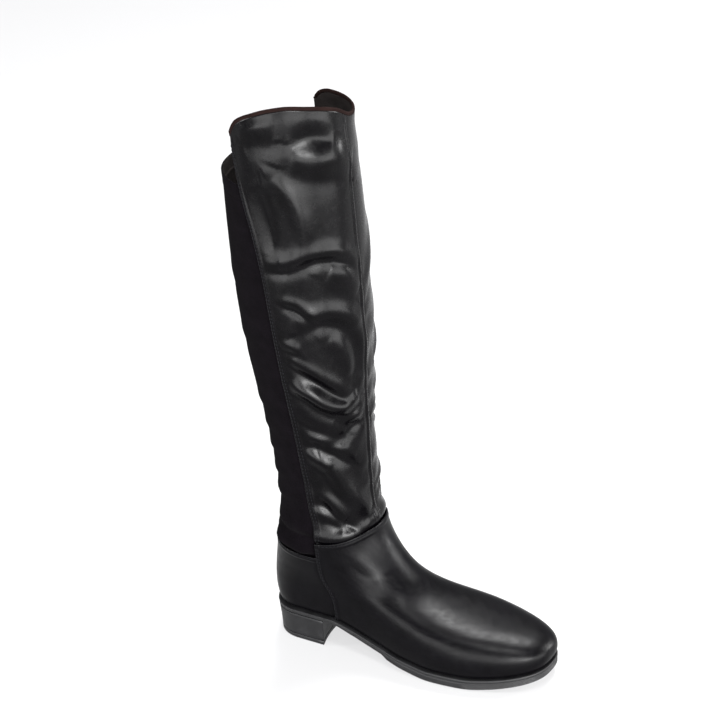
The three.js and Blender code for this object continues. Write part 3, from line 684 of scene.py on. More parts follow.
def leather_material(name, colour, gloss, grain, specular):
    """Coated leather: fine pebble, slow cloudiness of the gloss and faint wear."""
    shader = Shader(name, colour, gloss)
    shader.set(Specular_IOR_Level=specular)
    cloud = shader.noise(26, 2)
    shader.colour(shader.blend(shader.remap(cloud, 0.35, 0.65), shade(colour, 0.8), shade(colour, 1.3)))
    haze = shader.noise(7, 4)
    shader.roughness(shader.remap(haze, 0.3, 0.7, gloss * 0.82, gloss * 1.22))
    shader.bump(shader.remap(shader.cells(grain), 0, 0.35), 0.22, 0.05)
    shader.bump(shader.noise(grain * 3.2, 4), 0.25, 0.09)
    shader.bump(shader.noise(9, 2), 0.16, 0.35)
    return shader.material


def fabric_material(name, colour, pitch, relief=0.12):
    """Stretch knit: fine ribs along and across, and a dull fibrous sheen."""
    shader = Shader(name, colour, 0.92)
    shader.set(Sheen_Weight=0.002, Sheen_Roughness=0.6, Specular_IOR_Level=0.006)
    cloud = shader.noise(14, 4)
    shader.colour(shader.blend(shader.remap(cloud, 0.3, 0.7), shade(colour, 0.75), shade(colour, 1.3)))
    shader.bump(shader.bands(pitch, "X"), 0.5, relief)
    shader.bump(shader.bands(pitch * 1.4, "Y", distortion=1.2), 0.4, relief * 0.8)
    shader.bump(shader.noise(0.9, 4), 0.4, relief)
    return shader.material


def rubber_material(name, colour, roughness):
    """Moulded rubber: matt skin with faint mould mottle and scuffed high spots."""
    shader = Shader(name, colour, roughness, coordinates="Object")
    shader.set(Specular_IOR_Level=0.15)
    scuff = shader.noise(11, 6, 0.7)
    shader.colour(shader.blend(shader.remap(scuff, 0.45, 0.75), colour, shade(colour, 1.7)))
    shader.roughness(shader.remap(scuff, 0.3, 0.7, roughness * 0.85, min(1, roughness * 1.2)))
    shader.bump(shader.noise(0.7, 3), 0.3, 0.05)
    shader.bump(shader.noise(5, 3), 0.15, 0.15)
    return shader.material


def metal_material(name, colour, roughness):
    """Plated die-cast metal with fine rub marks."""
    shader = Shader(name, colour, roughness, 1.0, "Object")
    rub = shader.noise(1.6, 5, 0.7, (1, 1, 0.2))
    shader.roughness(shader.remap(rub, 0.3, 0.7, roughness * 0.7, roughness * 1.4))
    shader.bump(shader.noise(0.5, 3), 0.15, 0.03)
    return shader.material


def made(name, maker, *values):
    """The named material, made once, apart from the solids' own of the same name."""
    name = f"look_{name}"
    return bpy.data.materials.get(name) or maker(name, *values)


def settings():
    return bpy.context.scene.boot_dressing


def give(piece, *materials):
    for material in materials:
        piece.data.materials.append(material)


# Specular level of the shaft's and of the foot's leather.
SHAFT_SHINE = 0.052
FOOT_SHINE = 0.038


def gloss_leather():
    s = settings()
    grain = s.grain_size / MM
    return made("gloss_leather", leather_material, tuple(s.gloss_leather), s.shaft_gloss, grain, SHAFT_SHINE)


def satin_leather():
    s = settings()
    grain = s.grain_size / MM
    return made("satin_leather", leather_material, tuple(s.satin_leather), s.vamp_gloss, grain, FOOT_SHINE)


def stretch_fabric():
    return made("stretch_fabric", fabric_material, tuple(settings().fabric), 1.1)


def lining():
    return made("lining", fabric_material, tuple(settings().lining), 0.8)


def tape_cloth():
    return made("tape_cloth", fabric_material, tuple(settings().zip_tape), 0.7)


def black_rubber():
    return made("black_rubber", rubber_material, tuple(settings().rubber), 0.52)


class BootDressing(bpy.types.PropertyGroup):
    """Sizes and colours of the boot's finishes."""

    fold_strength: FloatProperty(
        name="Fold strength", description="How deep the shaft's folds are", default=1.0, min=0, max=2)
    grain_size: FloatProperty(
        name="Grain size", description="Size of the leather's pebble", default=0.0009, unit="LENGTH")
    shaft_gloss: FloatProperty(
        name="Shaft roughness", description="Roughness of the glossy leather", default=0.25, min=0, max=1)
    vamp_gloss: FloatProperty(
        name="Vamp roughness", description="Roughness of the satin leather", default=0.34, min=0, max=1)
    stitch_length: FloatProperty(
        name="Stitch length", description="Length of one stitch", default=0.0026, unit="LENGTH")
    stitch_pitch: FloatProperty(
        name="Stitch pitch", description="Distance from stitch to stitch", default=0.0034, unit="LENGTH")
    thread_radius: FloatProperty(
        name="Thread radius", description="Radius of the sewing thread", default=0.00028, unit="LENGTH")
    tooth_pitch: FloatProperty(
        name="Coil pitch", description="Distance between turns of the zip's coil",
        default=0.0015, unit="LENGTH")
    gloss_leather: FloatVectorProperty(
        name="Glossy leather", description="Colour of the shaft", subtype="COLOR",
        default=(0.0003, 0.00025, 0.00035))
    satin_leather: FloatVectorProperty(
        name="Satin leather", description="Colour of vamp and counter", subtype="COLOR",
        default=(0.0004, 0.00035, 0.0005))
    fabric: FloatVectorProperty(
        name="Stretch fabric", description="Colour of the back panel", subtype="COLOR",
        default=(0.0008, 0.0006, 0.00085))
    lining: FloatVectorProperty(
        name="Lining", description="Colour of the inside", subtype="COLOR", default=(0.0065, 0.0056, 0.0054))
    binding: FloatVectorProperty(
        name="Binding", description="Colour of the collar's edge", subtype="COLOR",
        default=(0.0036, 0.0019, 0.0017))
    rubber: FloatVectorProperty(
        name="Rubber", description="Colour of sole and heel", subtype="COLOR",
        default=(0.0013, 0.0013, 0.0015))
    zip_tape: FloatVectorProperty(
        name="Zip tape", description="Colour of tape and coil", subtype="COLOR",
        default=(0.0013, 0.0013, 0.0016))
    metal: FloatVectorProperty(
        name="Zip metal", description="Colour of slider and pull", subtype="COLOR",
        default=(0.09, 0.09, 0.098))


def shaft_turns(share, level):
    front = lateral_turn(level)
    return np.where(share <= 0.5, mix(front, 0.5, share * 2), mix(0.5, zip_edge(level, -1), share * 2 - 1))


def shaft_low(turn, share):
    return vamp_top(np.clip(turn, SIDE_SEAM, ZIP_AT_ANKLE - 0.001)) - LAP


# The shaft's small relief, in millimetres: the shin seam's half width and height, the puckers beside
# it, the folded edge beside the fabric, and the leather's puff over the foot's hem.
SHIN_HALF = 1.8
SHIN_SEAM = 0.75
PUCKER = 0.55
FOLDED_EDGE = 0.5
EDGE_ROUND = 0.7
PUFF = 2.4


def shaft_sheet(columns, rows):
    return Sheet(columns, rows, shaft_turns, shaft_low, lambda turn, share: collar_height(turn))


def shaft_relief(sheet):
    """Offset of the leather: folds, shin seam with its puckers, folded edge and tucked foot."""
    around, height = sheet.around, sheet.z
    free = smooth(sheet.above_low, LAP - 1, LAP + 10) * smooth(sheet.below_top, 0, 12)
    folds = fold_height(LATERAL_FOLDS + MEDIAL_FOLDS, around, height)
    puckers = np.sin(height / 4.1 + 1.3 * np.sin(height / 13)) * smooth(height, 120, 170)
    puckers = puckers * (1 - smooth(height, 300, 350)) * bell(np.abs(around) - 7, 6) * PUCKER
    seam = SHIN_SEAM * bell(around, SHIN_HALF) - 0.25 * bell(np.abs(around) - 3.0, 1.3)
    edge_step = FOLDED_EDGE * (1 - smooth(sheet.from_start, 6.5, 7.5))
    rounding = EDGE_ROUND * (1 - np.clip(sheet.from_start / 1.2, 0, 1)) ** 2
    zip_round = EDGE_ROUND * (1 - np.clip(sheet.from_end / 1.2, 0, 1)) ** 2
    over = PUFF * bell(sheet.above_low - LAP - 5, 6) * smooth(sheet.above_low, LAP - 2, LAP + 2)
    fade_sides = smooth(sheet.from_end, 2, 16) * (0.3 + 0.7 * smooth(sheet.from_start, 2, 20))
    relief = (1.1 * folds + 1.1 * drift(around, height)) * settings().fold_strength * fade_sides
    return LEATHER_FACE + free * (relief + puckers + seam + edge_step) + over - rounding - zip_round


# Finer columns at the folded edge, the shin seam and the zip.
SHAFT_COLUMNS = spread((0, 0.08, 22), (0.08, 0.46, 74), (0.46, 0.54, 30), (0.54, 0.97, 74), (0.97, 1, 8))
SHAFT_ROWS = 216


@functools.lru_cache(maxsize=1)
def finished_shaft():
    sheet = shaft_sheet(SHAFT_COLUMNS, np.linspace(0, 1, SHAFT_ROWS))
    return sheet, shaft_relief(sheet)


class BOOT_OT_shaft(bpy.types.Operator):
    """Makes the glossy leather front of the shaft, with its folds and shin seam"""

    bl_idname = "boot.shaft"
    bl_label = "Leather shaft"

    def execute(self, context):
        sheet, relief = finished_shaft()
        piece = grid_object("shaft_leather", sheet.place(relief), (sheet.around, sheet.z))
        thicken(piece, LEATHER_WALL, 1)
        give(piece, gloss_leather(), lining())
        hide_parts("shaft")
        return {"FINISHED"}


class BOOT_OT_binding(bpy.types.Operator):
    """Makes the thin binding that wraps the collar's edge"""

    bl_idname = "boot.binding"
    bl_label = "Collar binding"

    def execute(self, context):
        columns = SHAFT_COLUMNS[::2]
        sheet = shaft_sheet(columns, [0.97, 1.0])
        edge = sheet.points[:, 1]
        normals = sheet.normals[:, 1]
        wrap = [(-0.6, 0.15), (0.2, 0.35), (1.4, 0.35), (2.1, 0.0)]
        middle = (LEATHER_FACE + LEATHER_BACK) / 2
        half = LEATHER_WALL / 2
        outer = [(up, middle + half + out) for up, out in wrap]
        inner = [(up, middle - half - out) for up, out in reversed(wrap[:-1])]
        section = [*outer[:-1], (2.1, middle + 0.7), (2.4, middle), (2.1, middle - 0.7), *inner]
        upwards = np.cross(np.gradient(edge, axis=0), normals)
        upwards /= -np.linalg.norm(upwards, axis=1)[:, None]
        ends = smooth(sheet.from_start[:, 1], 0, 3) * smooth(sheet.from_end[:, 1], 0, 3)
        taper = mix(0.3, 1, ends)[:, None]
        places = np.stack([
            edge + normals * mix(middle, offset, taper) + upwards * up * taper for up, offset in section
        ], axis=1)
        along = np.broadcast_to(sheet.around[:, :1], places.shape[:2])
        across = np.broadcast_to(np.arange(len(section))[None, :] * 1.0, places.shape[:2])
        piece = grid_object("collar_edge", places, (along, across))
        thicken(piece, 0.35)
        give(piece, made("binding_cloth", fabric_material, tuple(settings().binding), 0.5))
        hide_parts("collar_binding")
        return {"FINISHED"}


def panel_turns(share, level):
    turn = lateral_turn(level)
    end = 1 + turn + turn_of(LAP - 2, turn, level)
    return mix(zip_edge(level, 1), end, share)


def panel_low(turn, share):
    return COUNTER_TOP - LAP + 0 * share


def panel_high(turn, share):
    corner = 15 * smooth(share, 0.94, 1.0)
    return FABRIC_TOP - corner


# Rolls of slack fabric above the counter: height of the roll, its middle above the counter and its
# half width, in millimetres.
FABRIC_ROLLS = ((6.5, 8, 7), (2.6, 27, 7), (-1.4, 18, 3.5))


def panel_relief(sheet):
    """Offset of the stretch fabric: slack ripples, top hem and the roll over the counter."""
    free = smooth(sheet.above_low, LAP - 2, LAP + 4) * smooth(sheet.below_top, 0, 8)
    sides = smooth(sheet.from_start, 0, 14) * smooth(sheet.from_end, 2, 18)
    ripples = fold_height(FABRIC_FOLDS, sheet.around, sheet.z) + 0.5 * drift(sheet.around * 1.4, sheet.z)
    hem = 0.35 * (1 - smooth(sheet.below_top, 11, 12)) - 0.3 * bell(sheet.below_top - 12.5, 0.7)
    rise = sheet.above_low - LAP
    roll = sum(high * bell(rise - middle, half) for high, middle, half in FABRIC_ROLLS)
    uneven = 1 + 0.25 * np.sin(sheet.around / 13) + 0.15 * np.sin(sheet.around / 5.3 + 2)
    return FABRIC_FACE + hem + free * sides * (ripples + roll * uneven * smooth(rise, -1, 3))


class BOOT_OT_stretch_panel(bpy.types.Operator):
    """Makes the dull stretch fabric at the back of the shaft"""

    bl_idname = "boot.stretch_panel"
    bl_label = "Stretch panel"

    def execute(self, context):
        columns = spread((0, 0.94, 100), (0.94, 1, 12))
        rows = spread((0, 0.14, 40), (0.14, 0.95, 120), (0.95, 1, 20))
        sheet = Sheet(columns, rows, panel_turns, panel_low, panel_high, 1.0)
        places = sheet.place(panel_relief(sheet))
        piece = grid_object("stretch_back", places, (sheet.around, sheet.z))
        thicken(piece, FABRIC_WALL, 1)
        give(piece, stretch_fabric(), lining())
        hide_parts("stretch_panel")
        return {"FINISHED"}


def foot_sheet(columns, rows, turns, top):
    """A sheet of the foot from the feather edge to its top line, counted in levels."""
    share = np.asarray(columns, float)[:, None]
    rise = np.asarray(rows, float)[None, :]
    sheet = Sheet.__new__(Sheet)
    edge = turns(share, np.full(share.shape, 10.0))
    top_level = level_at(edge, top(edge))
    for _ in range(2):
        level = top_level * rise
        turn = turns(np.broadcast_to(share, level.shape), level)
        top_level = level_at(turn[:, -1:], top(turn[:, -1:]))
    sheet.share, sheet.rise = np.broadcast_arrays(share, rise)
    sheet.turn, sheet.level = turn, level
    sheet.points = form(turn, level)
    sheet.normals = form_normal(turn, level)
    sheet.z = sheet.points[..., 2]
    across = np.linalg.norm(np.diff(sheet.points, axis=0), axis=-1)
    upwards = np.linalg.norm(np.diff(sheet.points, axis=1), axis=-1)
    sheet.from_start = np.concatenate([np.zeros((1, level.shape[1])), np.cumsum(across, axis=0)])
    sheet.from_end = sheet.from_start[-1:] - sheet.from_start
    sheet.above_low = np.concatenate([np.zeros((level.shape[0], 1)), np.cumsum(upwards, axis=1)], axis=1)
    sheet.below_top = sheet.above_low[:, -1:] - sheet.above_low
    sheet.around = sheet.from_start
    return sheet


def slot_half(level):
    """Half of the zip's slot: it closes in a round end above the sole."""
    return ZIP_SLOT / 2 * np.sqrt(np.clip((np.asarray(level) - ZIP_FLOOR) / 0.45, 0.0, 1))


def zip_side(level, side):
    turn = zip_turn(level)
    return turn + turn_of(side * (slot_half(level) + 0.12), turn, level)


SEAM_LAP = 4.2
FOOT_LEATHER = 1.3
LINING_DEPTH = 3.3


def vamp_turns(share, level):
    return mix(SIDE_SEAM, zip_side(level, -1), share)


def counter_turns(share, level):
    under = SIDE_SEAM + turn_of(SEAM_LAP * 0.6, SIDE_SEAM, level)
    return mix(zip_side(level, 1), 1 + under, share)


def feather_roll(sheet):
    """The lasted edge turns in above the sole."""
    return -1.5 * np.clip(1 - sheet.above_low / 2.4, 0, 1) ** 2


def hem_relief(sheet):
    """A folded hem: 0.4 mm proud over 5 mm, with a sewn groove and a rounded edge."""
    step = 0.4 * (1 - smooth(sheet.below_top, 4.6, 5.4))
    groove = -0.28 * bell(sheet.below_top - 2.2, 0.6)
    rounding = -0.9 * np.clip(1 - sheet.below_top / 0.9, 0, 1) ** 2
    return step + groove + rounding


# Soft folds of the vamp: x and y place them, in millimetres from the heel's centre.
VAMP_FOLDS = [
    (0.5, 0.7, 6, [(62, 96), (72, 86), (84, 80)]),
    (0.4, 0.5, 7, [(74, 76), (92, 68), (104, 66)]),
]


class BOOT_OT_upper(bpy.types.Operator):
    """Makes vamp, counter and foot lining"""

    bl_idname = "boot.upper"
    bl_label = "Vamp and counter"

    def execute(self, context):
        self.vamp()
        self.counter()
        self.foot_lining()
        return {"FINISHED"}

    def vamp(self):
        columns = spread((0, 0.03, 14), (0.03, 0.4, 72), (0.4, 0.62, 50), (0.62, 1.0, 76))
        rows = spread((0, 0.04, 6), (0.04, 0.92, 62), (0.92, 1, 16))
        sheet = foot_sheet(columns, rows, vamp_turns, vamp_top)
        lap = 0.75 * (1 - smooth(sheet.from_start, SEAM_LAP - 0.4, SEAM_LAP + 0.5))
        groove = -0.3 * bell(sheet.from_start - 1.4, 0.5) - 0.3 * bell(sheet.from_start - 3.2, 0.5)
        rounding = -0.9 * np.clip(1 - sheet.from_start / 0.8, 0, 1) ** 2
        zip_round = -0.6 * np.clip(1 - sheet.from_end / 1.0, 0, 1) ** 2
        flex = fold_height(VAMP_FOLDS, sheet.points[..., 0], sheet.z) * smooth(sheet.points[..., 1], 30, -30)
        soft = 0.3 * drift(sheet.points[..., 0] * 1.3, sheet.points[..., 1] + sheet.z)
        body = smooth(sheet.above_low, 4, 20) * smooth(sheet.below_top, 4, 16)
        offset = VAMP_STEP + lap + groove + rounding + zip_round + feather_roll(sheet) + hem_relief(sheet)
        offset = offset + body * (flex + soft)
        piece = grid_object("vamp", sheet.place(offset), (sheet.around, sheet.above_low))
        thicken(piece, FOOT_LEATHER, 1)
        give(piece, satin_leather(), lining())
        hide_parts("upper")

    def counter(self):
        columns = spread((0, 0.02, 5), (0.02, 1.0, 118))
        rows = spread((0, 0.05, 6), (0.05, 0.9, 46), (0.9, 1, 14))
        sheet = foot_sheet(columns, rows, counter_turns, lambda turn: COUNTER_TOP + 0 * turn)
        zip_round = -0.6 * np.clip(1 - sheet.from_start / 1.0, 0, 1) ** 2
        under = -0.9 * (1 - smooth(sheet.from_end, 2.0, 3.4))
        offset = 0.1 + zip_round + feather_roll(sheet) + hem_relief(sheet) + under
        piece = grid_object("heel_counter", sheet.place(offset), (sheet.around, sheet.above_low))
        thicken(piece, FOOT_LEATHER, 1)
        give(piece, satin_leather(), lining())
        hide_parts("upper")

    def foot_lining(self):
        def turns(share, level):
            return share + 0 * level

        def top(turn):
            wrapped = np.mod(turn, 1.0)
            on_vamp = smooth(wrapped, SIDE_SEAM - 0.01, SIDE_SEAM + 0.01)
            on_vamp = on_vamp * (1 - smooth(wrapped, ZIP_AT_ANKLE - 0.06, ZIP_AT_ANKLE - 0.04))
            return mix(COUNTER_TOP - LAP - 2, vamp_top(wrapped) - LAP - 3, on_vamp)

        sheet = foot_sheet(np.linspace(0, 1, 91), np.linspace(0, 1, 26), turns, top)
        pattern = (sheet.around, sheet.above_low)
        piece = grid_object("foot_lining", sheet.place(-LINING_DEPTH), pattern, merge=0.05)
        thicken(piece, 0.5)
        give(piece, lining())


class BOOT_OT_zip(bpy.types.Operator):
    """Makes the zip's tape, coil, slider and pull"""

    bl_idname = "boot.zip"
    bl_label = "Inner zip"

    def execute(self, context):
        top = float(level_at(zip_turn(TOP_LEVEL - 2.0), FABRIC_TOP))
        self.levels = np.linspace(ZIP_FLOOR + 0.15, top, 1600)
        self.tape()
        self.coil()
        self.hardware("zip_slider", "slider", BODY, 0.35)
        self.hardware("zip_pull", "pull_tab", "zip_pull", 0.22)
        return {"FINISHED"}

    def depth(self, level, on_shaft, on_foot):
        return mix(on_foot, on_shaft, smooth(level, 6, 8))

    def tape(self):
        levels = self.levels[::8]
        distances = np.array([-TAPE_WIDTH / 2, -5, -2.9, -2.5, 2.5, 2.9, 5, TAPE_WIDTH / 2])
        middle = zip_turn(levels)
        turn = middle[None, :] + turn_of(distances[:, None], middle[None, :], levels[None, :])
        level = np.broadcast_to(levels, turn.shape)
        offset = self.depth(level, FABRIC_BACK - 2 * GAP, -UPPER_WALL - GAP)
        places = surface(turn, level, offset)
        up = np.broadcast_to(places[..., 2], turn.shape)
        around = np.broadcast_to(distances[:, None], turn.shape)
        piece = grid_object("zip_tape", places, (around, up))
        thicken(piece, 0.7)
        give(piece, tape_cloth())
        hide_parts("zip_chain")

    def coil(self):
        """Two rows of coil turns that mesh in the slot."""
        pitch = settings().tooth_pitch / MM
        middle = zip_turn(self.levels)
        depth = self.depth(self.levels, FABRIC_BACK + 2.0, -2.6)
        path = surface(middle, self.levels, depth)
        normals = form_normal(middle, self.levels)
        run = np.concatenate([[0], np.cumsum(np.linalg.norm(np.diff(path, axis=0), axis=-1))])
        count = int(run[-1] / pitch)
        places = []
        for k in range(1, count):
            for side in (-1, 1):
                at = (k + (0.5 if side > 0 else 0.0)) * pitch
                if at > run[-1]:
                    continue
                spot = np.array([np.interp(at, run, path[:, c]) for c in range(3)])
                ahead = np.array([np.interp(at + 0.5, run, path[:, c]) for c in range(3)])
                normal = Vector([np.interp(at, run, normals[:, c]) for c in range(3)]).normalized()
                along = Vector(ahead - spot).normalized()
                across = along.cross(normal).normalized()
                centre = Vector(spot) + across * side * 0.95
                basis = Matrix((across, along, normal)).transposed().to_4x4()
                size = Matrix.Diagonal((1.55, 0.52, 0.62, 1))
                places.append(Matrix.Translation(centre * MM) @ basis @ size @ Matrix.Scale(MM, 4))
        piece = repeated("zip_coil", unit_ball(8, 5), places)
        shader = made("coil_nylon", rubber_material, tuple(settings().zip_tape), 0.3)
        give(piece, shader)

    def hardware(self, node, name, body, bevel):
        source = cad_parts[node]
        bm = bmesh.new()
        bm.from_mesh(source.data)
        bmesh.ops.remove_doubles(bm, verts=bm.verts[:], dist=0.00002)
        bmesh.ops.dissolve_limit(
            bm, angle_limit=math.radians(2), use_dissolve_boundaries=False, verts=bm.verts[:],
            edges=bm.edges[:])
        sharp = [e for e in bm.edges if len(e.link_faces) == 2 and e.calc_face_angle() > math.radians(50)]
        bmesh.ops.bevel(
            bm, geom=sharp, offset=bevel * MM, segments=2, profile=0.5, affect="EDGES", material=-1,
            clamp_overlap=True)
        bmesh.ops.recalc_face_normals(bm, faces=bm.faces[:])
        piece = new_object(name, bm, body)
        for polygon in piece.data.polygons:
            polygon.use_smooth = False
        give(piece, made("zip_metal", metal_material, tuple(settings().metal), 0.32))
        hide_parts(node)


def outline(turn, outwards, height):
    """The foot's outline at the feather edge, moved outwards in plan."""
    d = 0.002
    points = form(turn, np.zeros(np.shape(turn)))
    across = form(turn + d, 0.0 * turn) - form(turn - d, 0.0 * turn)
    across[..., 2] = 0
    across /= np.linalg.norm(across, axis=-1, keepdims=True)
    points = points.copy()
    points[..., 0] += across[..., 1] * outwards
    points[..., 1] -= across[..., 0] * outwards
    points[..., 2] = height((points[..., 0] + HEEL_CENTRE) / FOOT_LENGTH)
    return points


# Side of the sole from bottom to top: share of the edge, undercut as a share of the margin,
# groove depth and rib depth in millimetres.
SOLE_PROFILE = [
    (0.0, 0.75, 0, 0), (0.02, 0.5, 0, 0), (0.05, 0.3, 0, 0), (0.09, 0.15, 0, 0), (0.13, 0.08, 0, 0),
    (0.15, 0.08, 0, 0.55), (0.18, 0.08, 0, 0.55), (0.2, 0.08, 0, 0), (0.24, 0.08, 0, 0),
    (0.26, 0.08, 0, 0.55), (0.29, 0.08, 0, 0.55), (0.31, 0.08, 0, 0), (0.35, 0.08, 0, 0),
    (0.37, 0.08, 0, 0.55), (0.4, 0.08, 0, 0.55), (0.42, 0.08, 0, 0), (0.47, 0.08, 0, 0),
    (0.49, 0.08, 0, 0.5), (0.52, 0.08, 0, 0.5), (0.54, 0.08, 0, 0), (0.6, 0.08, 0, 0),
    (0.63, 0.08, 0.95, 0), (0.69, 0.08, 0.95, 0), (0.72, 0.02, 0, 0), (0.76, -0.04, 0, 0),
    (0.94, -0.04, 0, 0), (0.98, 0.04, 0, 0), (1.0, 0.18, 0, 0), (1.0, 0.6, 0, 0), (0.995, 1.9, 0, 0),
]
RIB_START = 0.74


def edge_turns(count):
    """Turns round the outline, closer together at heel and toe."""
    half = spread((0, 0.25, int(count * 0.36)), (0.25, 0.3, int(count * 0.2)), (0.3, 0.5, int(count * 0.44)))
    return np.concatenate([half, 1 - half[-2::-1]])


class BOOT_OT_sole(bpy.types.Operator):
    """Makes the rubber sole with its edge grooves, toe ribs and tread, the heel and its top lift"""

    bl_idname = "boot.sole"
    bl_label = "Sole and heel"

    def execute(self, context):
        self.outsole()
        block_top = SEAT_HEIGHT - BAND_EDGE - 2 * GAP
        self.heel("heel_stack", "heel_block", "heel", LIFT_THICKNESS + GAP, block_top, True)
        self.heel("heel_lift", "heel_top_lift", "rubber", 0.0, LIFT_THICKNESS, False)
        self.insole()
        return {"FINISHED"}

    def outsole(self):
        turns = edge_turns(240)
        columns = []
        at = (form(turns, 0.0 * turns)[:, 0] + HEEL_CENTRE) / FOOT_LENGTH
        for up, undercut, groove, rib in SOLE_PROFILE:
            ribs = rib * smooth(at, RIB_START, RIB_START + 0.05)
            outwards = SOLE_MARGIN * (1 - undercut) - groove - ribs
            columns.append(outline(
                turns, outwards, lambda place: sole_top(place) - GAP - edge_thickness(place) * (1 - up)))
        side = np.stack(columns, axis=1)
        bm = bmesh.new()
        self.grid(bm, side)
        half = (len(turns) - 1) // 2
        lateral, medial = side[: half + 1, 0], side[::-1, 0][: half + 1]
        across = np.linspace(0, 1, 33)[None, :, None]
        bottom = lateral[:, None] * (1 - across) + medial[:, None] * across
        bottom[..., 2] += self.tread(bottom)
        self.grid(bm, bottom[:, ::-1])
        lateral, medial = side[: half + 1, -1], side[::-1, -1][: half + 1]
        across = np.linspace(0, 1, 9)[None, :, None]
        top = lateral[:, None] * (1 - across) + medial[:, None] * across
        self.grid(bm, top)
        bmesh.ops.remove_doubles(bm, verts=bm.verts[:], dist=0.00002)
        bmesh.ops.recalc_face_normals(bm, faces=bm.faces[:])
        piece = new_object("rubber_sole", bm)
        give(piece, black_rubber())
        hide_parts("outsole")

    def tread(self, points):
        """Fine wavy cross grooves under the forefoot, inside a plain margin."""
        x, y = points[..., 0], points[..., 1]
        forefoot = smooth(x, 112, 118) * (1 - smooth(x, 208, 214))
        span = np.abs(points[:, :1, 1] - points[:, -1:, 1]) / 2
        centre = (points[:, :1, 1] + points[:, -1:, 1]) / 2
        inside = 1 - smooth(np.abs(y - centre), span - 7, span - 5)
        wave = np.sin((x + 2.2 * np.sin(y / 5)) / 1.15)
        return 0.9 * smooth(wave, 0.1, 0.6) * forefoot * inside

    def grid(self, bm, places):
        columns, rows = places.shape[:2]
        flat = bmesh.ops.create_grid(bm, x_segments=columns - 1, y_segments=rows - 1, size=1)
        for vert in flat["verts"]:
            i = int(round((vert.co.x + 1) / 2 * (columns - 1)))
            j = int(round((vert.co.y + 1) / 2 * (rows - 1)))
            vert.co = Vector(places[i, j] * MM)

    def heel_outline(self, inset):
        front = HEEL_CENTRE - inset
        corner = float(turn_at(0.0, lambda turn: front))
        side = outline(np.linspace(0, corner, 60), SOLE_MARGIN - inset, lambda at: 0 * at)
        last = side[-1]
        share = np.linspace(1, 0, 18)[1:]
        breast = np.stack([
            last[0] - BREAST_HOLLOW * (1 - share**2), last[1] * share, 0 * share], axis=-1)
        half = np.concatenate([side, breast])
        mirrored = half[1:-1][::-1] * np.array([1, -1, 1])
        return np.concatenate([half, mirrored])

    def heel(self, name, node, slot, low, high, taper):
        """A block raised from its outline ring by ring, with rounded rims."""
        soft = 0.5
        rings = [(low, HEEL_TAPER + soft), (low + soft, HEEL_TAPER)]
        if taper:
            rings += [(mix(low, high, t), mix(HEEL_TAPER, 0.15, t**1.4)) for t in np.linspace(0.15, 0.9, 6)]
            rings += [(high - 0.3, 0.15), (high, 0.4)]
        else:
            rings += [(high - 0.4, HEEL_TAPER), (high, HEEL_TAPER + 0.25)]
        bm = bmesh.new()
        loops = []
        for z, inset in rings:
            loop = [bm.verts.new(Vector((p[0], p[1], z)) * MM) for p in self.heel_outline(inset)]
            loops.append([bm.edges.new((a, b)) for a, b in zip(loop, loop[1:] + loop[:1])])
        for lower, upper in zip(loops, loops[1:]):
            bmesh.ops.bridge_loops(bm, edges=lower + upper)
        bmesh.ops.contextual_create(bm, geom=loops[0])
        bmesh.ops.contextual_create(bm, geom=loops[-1])
        bmesh.ops.recalc_face_normals(bm, faces=bm.faces[:])
        piece = new_object(name, bm)
        for polygon in piece.data.polygons:
            polygon.use_smooth = abs(polygon.normal.z) < 0.99
        give(piece, black_rubber())
        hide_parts(node)

    def insole(self):
        turns = edge_turns(120)
        edge = outline(turns, -(UPPER_WALL + 2 * GAP), lambda at: sole_top(at))
        half = (len(turns) - 1) // 2
        lateral, medial = edge[: half + 1], edge[::-1][: half + 1]
        across = np.linspace(0, 1, 25)[None, :, None]
        top = lateral[:, None] * (1 - across) + medial[:, None] * across
        crown = np.sqrt(np.clip(1 - (2 * across[..., 0] - 1) ** 2, 0, 1))
        top[..., 2] += INSOLE_THICKNESS - 0.5 + 0.5 * crown
        piece = grid_object("sock", top, (top[..., 0], top[..., 1]), merge=0.05)
        thicken(piece, 1.4)
        give(piece, lining())
        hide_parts("insole")


def resample(points, normals, pitch):
    """Even spots along a path: position, direction and normal of each."""
    run = np.concatenate([[0], np.cumsum(np.linalg.norm(np.diff(points, axis=0), axis=-1))])
    at = np.arange(pitch / 2, run[-1] - pitch / 2, pitch)
    spots = np.stack([np.interp(at, run, points[:, c]) for c in range(3)], -1)
    ahead = np.stack([np.interp(at + 0.4, run, points[:, c]) for c in range(3)], -1)
    facing = np.stack([np.interp(at, run, normals[:, c]) for c in range(3)], -1)
    return spots, ahead - spots, facing


def stitch_rows(name, rows):
    """Sewn rows as one mesh of small thread loops that sink at their ends."""
    s = settings()
    places = []
    for points, normals in rows:
        for spot, along, facing in zip(*resample(points, normals, s.stitch_pitch / MM)):
            along = Vector(along).normalized()
            facing = Vector(facing)
            facing = (facing - along * facing.dot(along)).normalized()
            basis = Matrix((along, facing.cross(along), facing)).transposed().to_4x4()
            size = Matrix.Diagonal((s.stitch_length / 2, s.thread_radius * 1.15, s.thread_radius, 1))
            places.append(Matrix.Translation(Vector(spot) * MM) @ basis @ size)
    piece = repeated(name, unit_ball(6, 6), places)
    give(piece, made("thread", fabric_material, (0.0035, 0.0035, 0.004), 0.3))


